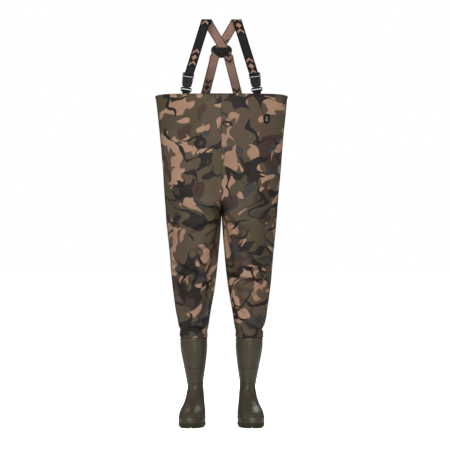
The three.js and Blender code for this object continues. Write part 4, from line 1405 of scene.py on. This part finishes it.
def build_badge():
    """Moulded badge with a plain mark of a lozenge over two waves."""
    node = dress("chest_badge", badge_plastic)
    soften_edges(node, 0.8 * MM)
    low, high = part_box("chest_badge")
    centre = np.array((low + high) / 2)
    height = centre[2]
    across = unit(section_points(BADGE_TURN + 0.01, height) - section_points(BADGE_TURN - 0.01, height))
    up = unit(section_points(BADGE_TURN, height + 0.01) - section_points(BADGE_TURN, height - 0.01))
    out = unit(np.cross(across, up))
    face = centre + out * BADGE_FACE
    half, rise = MARK_LINE

    def bar(line):
        path = smooth_path([(x * MM, z * MM) for x, z in line], 1.0 * MM)
        rings = []
        for i, (x, z) in enumerate(path):
            bulge = rounded_end(2 * i / (len(path) - 1) - 1, 6, 0.1)
            base = face + across * x + up * z
            ring = []
            for a in np.arange(8) * math.pi / 4:
                ring.append(base + up * math.cos(a) * half * bulge + out * math.sin(a) * rise * bulge)
            rings.append(ring)
        return ring_stack(rings)

    wavy = [[(x, z + 1.1 * math.sin(x * 0.75)) for x in range(-8, 9, 2)] for z in MARK_WAVES]
    sides = [MARK_LOZENGE[i : i + 2] for i in range(4)]
    points, faces = join_parts([bar(line) for line in (*wavy, *sides)])
    finish_piece(make_object("badge_relief", points, faces, [badge_mark]), "torso", "badge_plastic")


build_straps()
build_patch()
build_badge()
for side_name, side in SIDES.items():
    build_buckle(side_name)
    build_hem_loop(side_name, side)

# ---------------------------------------------------------------- boots

ANGLES = np.arange(BOOT_POINTS) * 2 * math.pi / BOOT_POINTS
SHELL_HEIGHTS = np.unique(
    np.concatenate(
        [
            np.arange(SOLE_TOP + 0.4 * MM, 0.135, 2.2 * MM),
            np.arange(0.135, BOOT_TOP, 5 * MM),
            *[np.arange(rib - 4 * MM, rib + 4 * MM, 0.8 * MM) for rib in SHAFT_RIBS],
            np.arange(0.365, 0.388, 1.2 * MM),
            np.arange(0.042, 0.056, 1.0 * MM),
            [BOOT_TOP],
        ]
    ).round(5)
)


def boot_ring(height, out, at=None):
    """Level outline of the left boot, moved outwards by `out`, with the section of height `at`."""
    at = height if at is None else at
    centre, heel, ball, back, front, squareness = boot_at(at)
    power = 2 / squareness

    def bend(value):
        return np.sign(value) * np.abs(value) ** power

    reach = bend(np.cos(ANGLES))
    forward = mix(-back - out, front + out, (1 + reach) / 2)
    half = mix(heel, ball, smoothstep((1 + reach) / 2, 0.15, 0.7)) + out
    toe_out = TOE_OUT * np.maximum(forward, 0) * (1 - smoothstep(at, *ANKLE))
    x = centre + bend(np.sin(ANGLES)) * half + toe_out
    return np.stack([x, BODY_Y - forward, np.full_like(x, height)], -1)


def boot_detail(height):
    """Moulded relief of the shell: shaft ribs, collar roll, instep ridge, toe bumper, heel cup, welt lines,
    side ribs and heel spur. Heights and reliefs are in metres."""
    front = np.cos(ANGLES)
    outside = np.sin(ANGLES)
    relief = np.zeros(BOOT_POINTS)
    for rib in SHAFT_RIBS:
        relief += hump(height, rib, 1.5 * MM) * 1.1 * MM
    relief += hump(height, 0.3775, 4 * MM) * 1.3 * MM
    relief += smoothstep(height, 0.384, 0.389) * -1.0 * MM
    ankle = smoothstep(height, 0.085, 0.11) * (1 - smoothstep(height, 0.15, 0.18))
    relief += ankle * hump(ANGLES, 0, 0.16) * 1.5 * MM + ankle * hump(ANGLES, 2 * math.pi, 0.16) * 1.5 * MM
    bumper = 1 - smoothstep(height, 0.0455, 0.0500)
    relief += bumper * smoothstep(front, -0.2, 0.3) * 1.6 * MM
    heel_cup = 1 - smoothstep(height, 0.0655, 0.0700)
    relief += heel_cup * smoothstep(-front, 0.35, 0.6) * 1.3 * MM
    relief += hump(height, 0.0275, 1.6 * MM) * 0.9 * MM + hump(height, 0.0335, 1.2 * MM) * 0.6 * MM
    flank = smoothstep(outside, 0.35, 0.6) * (1 - smoothstep(front, 0.75, 0.92))
    flank = flank * smoothstep(front, -0.55, -0.3)
    band = smoothstep(height, 0.056, 0.064) * (1 - smoothstep(height, 0.088, 0.098))
    slanting = np.sin((front * 0.11 + height * 1.2) * 2 * math.pi / 0.016)
    relief += flank * band * np.maximum(slanting, 0) ** 2 * 0.9 * MM
    spur = smoothstep(-front, 0.86, 0.97) * hump(height, 0.092, 4 * MM) * 3.0 * MM
    return relief + spur


def painted_groove_shade(rings):
    """Painted shade: dark lines beside the ribs, under the bumper's lip, and between the welt lines, ring by
    ring.
    """
    heights = np.asarray(rings)[..., 2]
    marks = sum(hump(heights, rib - 2.6 * MM, 1.3 * MM) for rib in SHAFT_RIBS)
    marks = marks + hump(heights, 0.0485, 1.1 * MM) * 0.5 + hump(heights, 0.0305, 0.8 * MM)
    marks = marks + hump(heights, 0.0170, 0.6 * MM) + hump(heights, 0.3730, 1.0 * MM) * 0.5
    return np.clip(marks, 0, 1).ravel()


def sided(rings, side):
    """The left boot's rings on this side, running the way round that turns the faces out."""
    rings = mirrored(np.array(rings), side)
    return rings[:, ::-1] if side > 0 else rings


def boot_piece(name, side_name, rings, material, slot, node, joined=False):
    rings = sided(rings, SIDES[side_name])
    points, faces = ring_stack(rings, joined)
    obj = make_object(f"{side_name}_{name}", points, faces, [material], sharp=50)
    # Painted shade beside the boot's moulded ribs and welt lines, which its colour reads.
    mark_points(obj, "crease", painted_groove_shade(rings))
    finish_piece(obj, f"{side_name}_shin", slot, f"{side_name}_{node}")


def sleeve(heights, outer, thick):
    """Rings of a thin tube that follows the boot, up its outside and down its inside."""
    outside = [boot_ring(z, outer) for z in heights]
    inside = [boot_ring(z, outer - thick) for z in heights[::-1]]
    return outside + inside


TREAD_HEEL = (-58, -43, -28)  # lugs' reach in front of the leg axis, in mm
TREAD_BALL = (56, 73, 90, 107, 124, 141, 158, 175)
LUG_HALF = 5 * MM
LUG_SLANT = 7 * MM
LUG_INSET = 2.5 * MM
LUG_PROFILE = ((0, 0.86), (0.4, 0.95), (1.2, 1.0), (7.5, 1.06))  # height in mm and size
LUG_OUTLINE = ((0, -1), (0.5, -1), (1, -1), (1, 1), (0.5, 1), (0, 1))
# Outsole plate: height and reach beyond the shell's sole outline, in mm.
SOLE_PROFILE = (
    *((5.5, -4), (5.5, -0.5), (6.2, 1.0), (8.5, 2.2), (12.5, 3.2), (14.8, 3.3), (15.6, 2.5)),
    *((16.4, 2.5), (17.2, 3.2), (21.0, 3.0), (23.2, 2.2), (24.0, 1.0), (24.0, -6)),
)


def sole_half(forward):
    """Half width of the sole at a reach in front of the leg axis."""
    _, heel, ball, back, front, squareness = boot_at(SOLE_TOP)
    share = np.clip((forward + back) / (front + back), 0, 1)
    round_end = np.maximum(1 - np.abs(2 * share - 1) ** squareness, 0) ** (1 / squareness)
    return mix(heel, ball, smoothstep(share, 0.15, 0.7)) * round_end


def lug_boxes():
    """Tread lugs under the heel and the ball: slanted bars that stay inside the sole's outline."""
    parts = []
    for forward in (*TREAD_HEEL, *TREAD_BALL):
        reach = forward * MM
        far = min(sole_half(reach - LUG_HALF), sole_half(reach + LUG_HALF)) - LUG_INSET
        for lane in (-1, 1):
            rings = []
            for z, grow in LUG_PROFILE:
                corners = []
                for u, v in LUG_OUTLINE:
                    across = mix(LUG_INSET, far, 0.5 + (u - 0.5) * grow)
                    along = v * LUG_HALF * grow + (u - 0.5) * LUG_SLANT
                    x = BOOT_SECTIONS[0][1] + lane * across + TOE_OUT * max(reach, 0)
                    corners.append([x, BODY_Y - reach + along, z * MM])
                rings.append(corners[::lane])
            parts.append(ring_stack(rings))
    return join_parts(parts)


def build_outsole(side_name, side):
    """Grooved sole plate with its lugs, as one mesh."""
    rings = sided([boot_ring(z * MM, out * MM, SOLE_TOP) for z, out in SOLE_PROFILE], side)
    lugs, lug_faces = lug_boxes()
    lugs = mirrored(lugs, side)
    if side < 0:
        lug_faces = [face[::-1] for face in lug_faces]
    points, faces = join_parts([ring_stack(rings), (lugs, lug_faces)])
    obj = make_object(f"{side_name}_outsole", points, faces, [sole_rubber], sharp=45)
    finish_piece(obj, f"{side_name}_shin", "sole_rubber", f"{side_name}_boot_outsole")


FOOTBED = ((0, -9), (0.6, -8), (2.2, -8), (3, -9), (2.6, -20))  # height and reach in mm
FOOTBED_SECTION = 0.040
LINING_START = 0.170


def build_boot(side_name, side):
    """Shell, footbed, lining, weld band and outsole of one boot."""
    floor = SOLE_TOP + 5.4 * MM
    outer = [boot_ring(z, boot_detail(z)) for z in SHELL_HEIGHTS]
    rim = [boot_ring(BOOT_TOP + 0.5 * MM, -out * MM, BOOT_TOP) for out in (1.0, 2.0)]
    inner_heights = [z for z in SHELL_HEIGHTS[::3][::-1] if z > floor]
    inner = [boot_ring(z, -BOOT_WALL) for z in inner_heights]
    rings = [*outer, *rim, *inner, boot_ring(floor, -2 * BOOT_WALL)]
    boot_piece("boot", side_name, rings, boot_rubber, "boot_rubber", "boot_shell")
    low = floor + GAP
    footbed = [boot_ring(low + z * MM, out * MM, FOOTBED_SECTION) for z, out in FOOTBED]
    boot_piece("footbed", side_name, footbed, knit_lining, "boot_lining", "boot_insole")
    lining = sleeve(np.arange(LINING_START, BOOT_TOP, 8 * MM), -BOOT_WALL - 2 * GAP, 1.2 * MM)
    boot_piece("sock_lining", side_name, lining, knit_lining, "boot_lining", "boot_lining", joined=True)
    band = sleeve(np.arange(CLOTH_BOTTOM + 4 * MM, BOOT_TOP - 1 * MM, 4 * MM), 1.0 * MM, 0.7 * MM)
    boot_piece("weld_band", side_name, band, tape, "seam_tape", "boot_weld_band", joined=True)
    build_outsole(side_name, side)


for side_name, side in SIDES.items():
    build_boot(side_name, side)

# ---------------------------------------------------------------- stage

CAMERA_PLACE = (0.0154, BODY_Y - 12.0, 0.882)
CAMERA_LENS = 217.9
SENSOR_WIDTH = 36
LIGHT_TARGET = (0, 0, 0.9)
FLOOR_REACH = 40.0
AMBIENT = 0.15
FLOOR_GLOW = 0.9
LIGHTS = (  # name, place, size, watts
    ("key", (-1.1, -4.4, 4.0), (2.0, 2.2), 168),
    ("fill", (0.7, -5.4, 1.5), (2.2, 2.6), 66),
    ("rear", (0.4, 4.6, 3.4), (2.6, 2.4), 165),
    ("left_side", (4.5, 0.4, 2.6), (1.8, 2.2), 16),
    ("right_side", (-4.5, 0.4, 2.6), (1.8, 2.2), 16),
)


def make_camera():
    data = bpy.data.cameras.new("camera")
    camera = bpy.data.objects.new("camera", data)
    bpy.context.scene.collection.objects.link(camera)
    data.sensor_width = SENSOR_WIDTH
    data.lens = CAMERA_LENS
    camera.location = CAMERA_PLACE
    camera.rotation_euler = (math.radians(90), 0, 0)
    bpy.context.scene.camera = camera


def area_light(name, place, size, power):
    data = bpy.data.lights.new(name, "AREA")
    data.shape = "RECTANGLE"
    data.size, data.size_y = size
    data.energy = power
    light = bpy.data.objects.new(name, data)
    light.location = place
    aim = Vector(LIGHT_TARGET) - Vector(place)
    light.rotation_euler = aim.to_track_quat("-Z", "Y").to_euler()
    bpy.context.scene.collection.objects.link(light)


def camera_only(tree, dim, bright):
    """A number that is `bright` to the camera and `dim` to every other ray."""
    path = tree.nodes.new("ShaderNodeLightPath")
    scale = tree.nodes.new("ShaderNodeMapRange")
    tree.links.new(path.outputs["Is Camera Ray"], scale.inputs["Value"])
    scale.inputs["To Min"].default_value = dim
    scale.inputs["To Max"].default_value = bright
    return scale.outputs[0]


def make_floor():
    corners = [(x * FLOOR_REACH, y * FLOOR_REACH, 0) for x, y in ((-1, -1), (1, -1), (1, 1), (-1, 1))]
    m = Material("floor", roughness=0.95, specular=0.05)
    m.colour(m.layer(0xF4F4F4, 0xEFEFEF, m.noise(m.place(), 2.0).rise(0.5, 0.3)))
    m.shader.inputs["Emission Color"].default_value = (1, 1, 1, 1)
    m.tree.links.new(camera_only(m.tree, 0.0, FLOOR_GLOW), m.shader.inputs["Emission Strength"])
    make_object("floor", corners, [(0, 1, 2, 3)], [m.material])


def make_world():
    world = bpy.data.worlds.new("studio")
    world.use_nodes = True
    background = world.node_tree.nodes["Background"]
    background.inputs["Color"].default_value = (1, 1, 1, 1)
    world.node_tree.links.new(camera_only(world.node_tree, AMBIENT, 1.0), background.inputs["Strength"])
    bpy.context.scene.world = world
    bpy.context.scene.view_settings.view_transform = "Standard"


make_floor()
make_world()
make_camera()
for light in LIGHTS:
    area_light(*light)
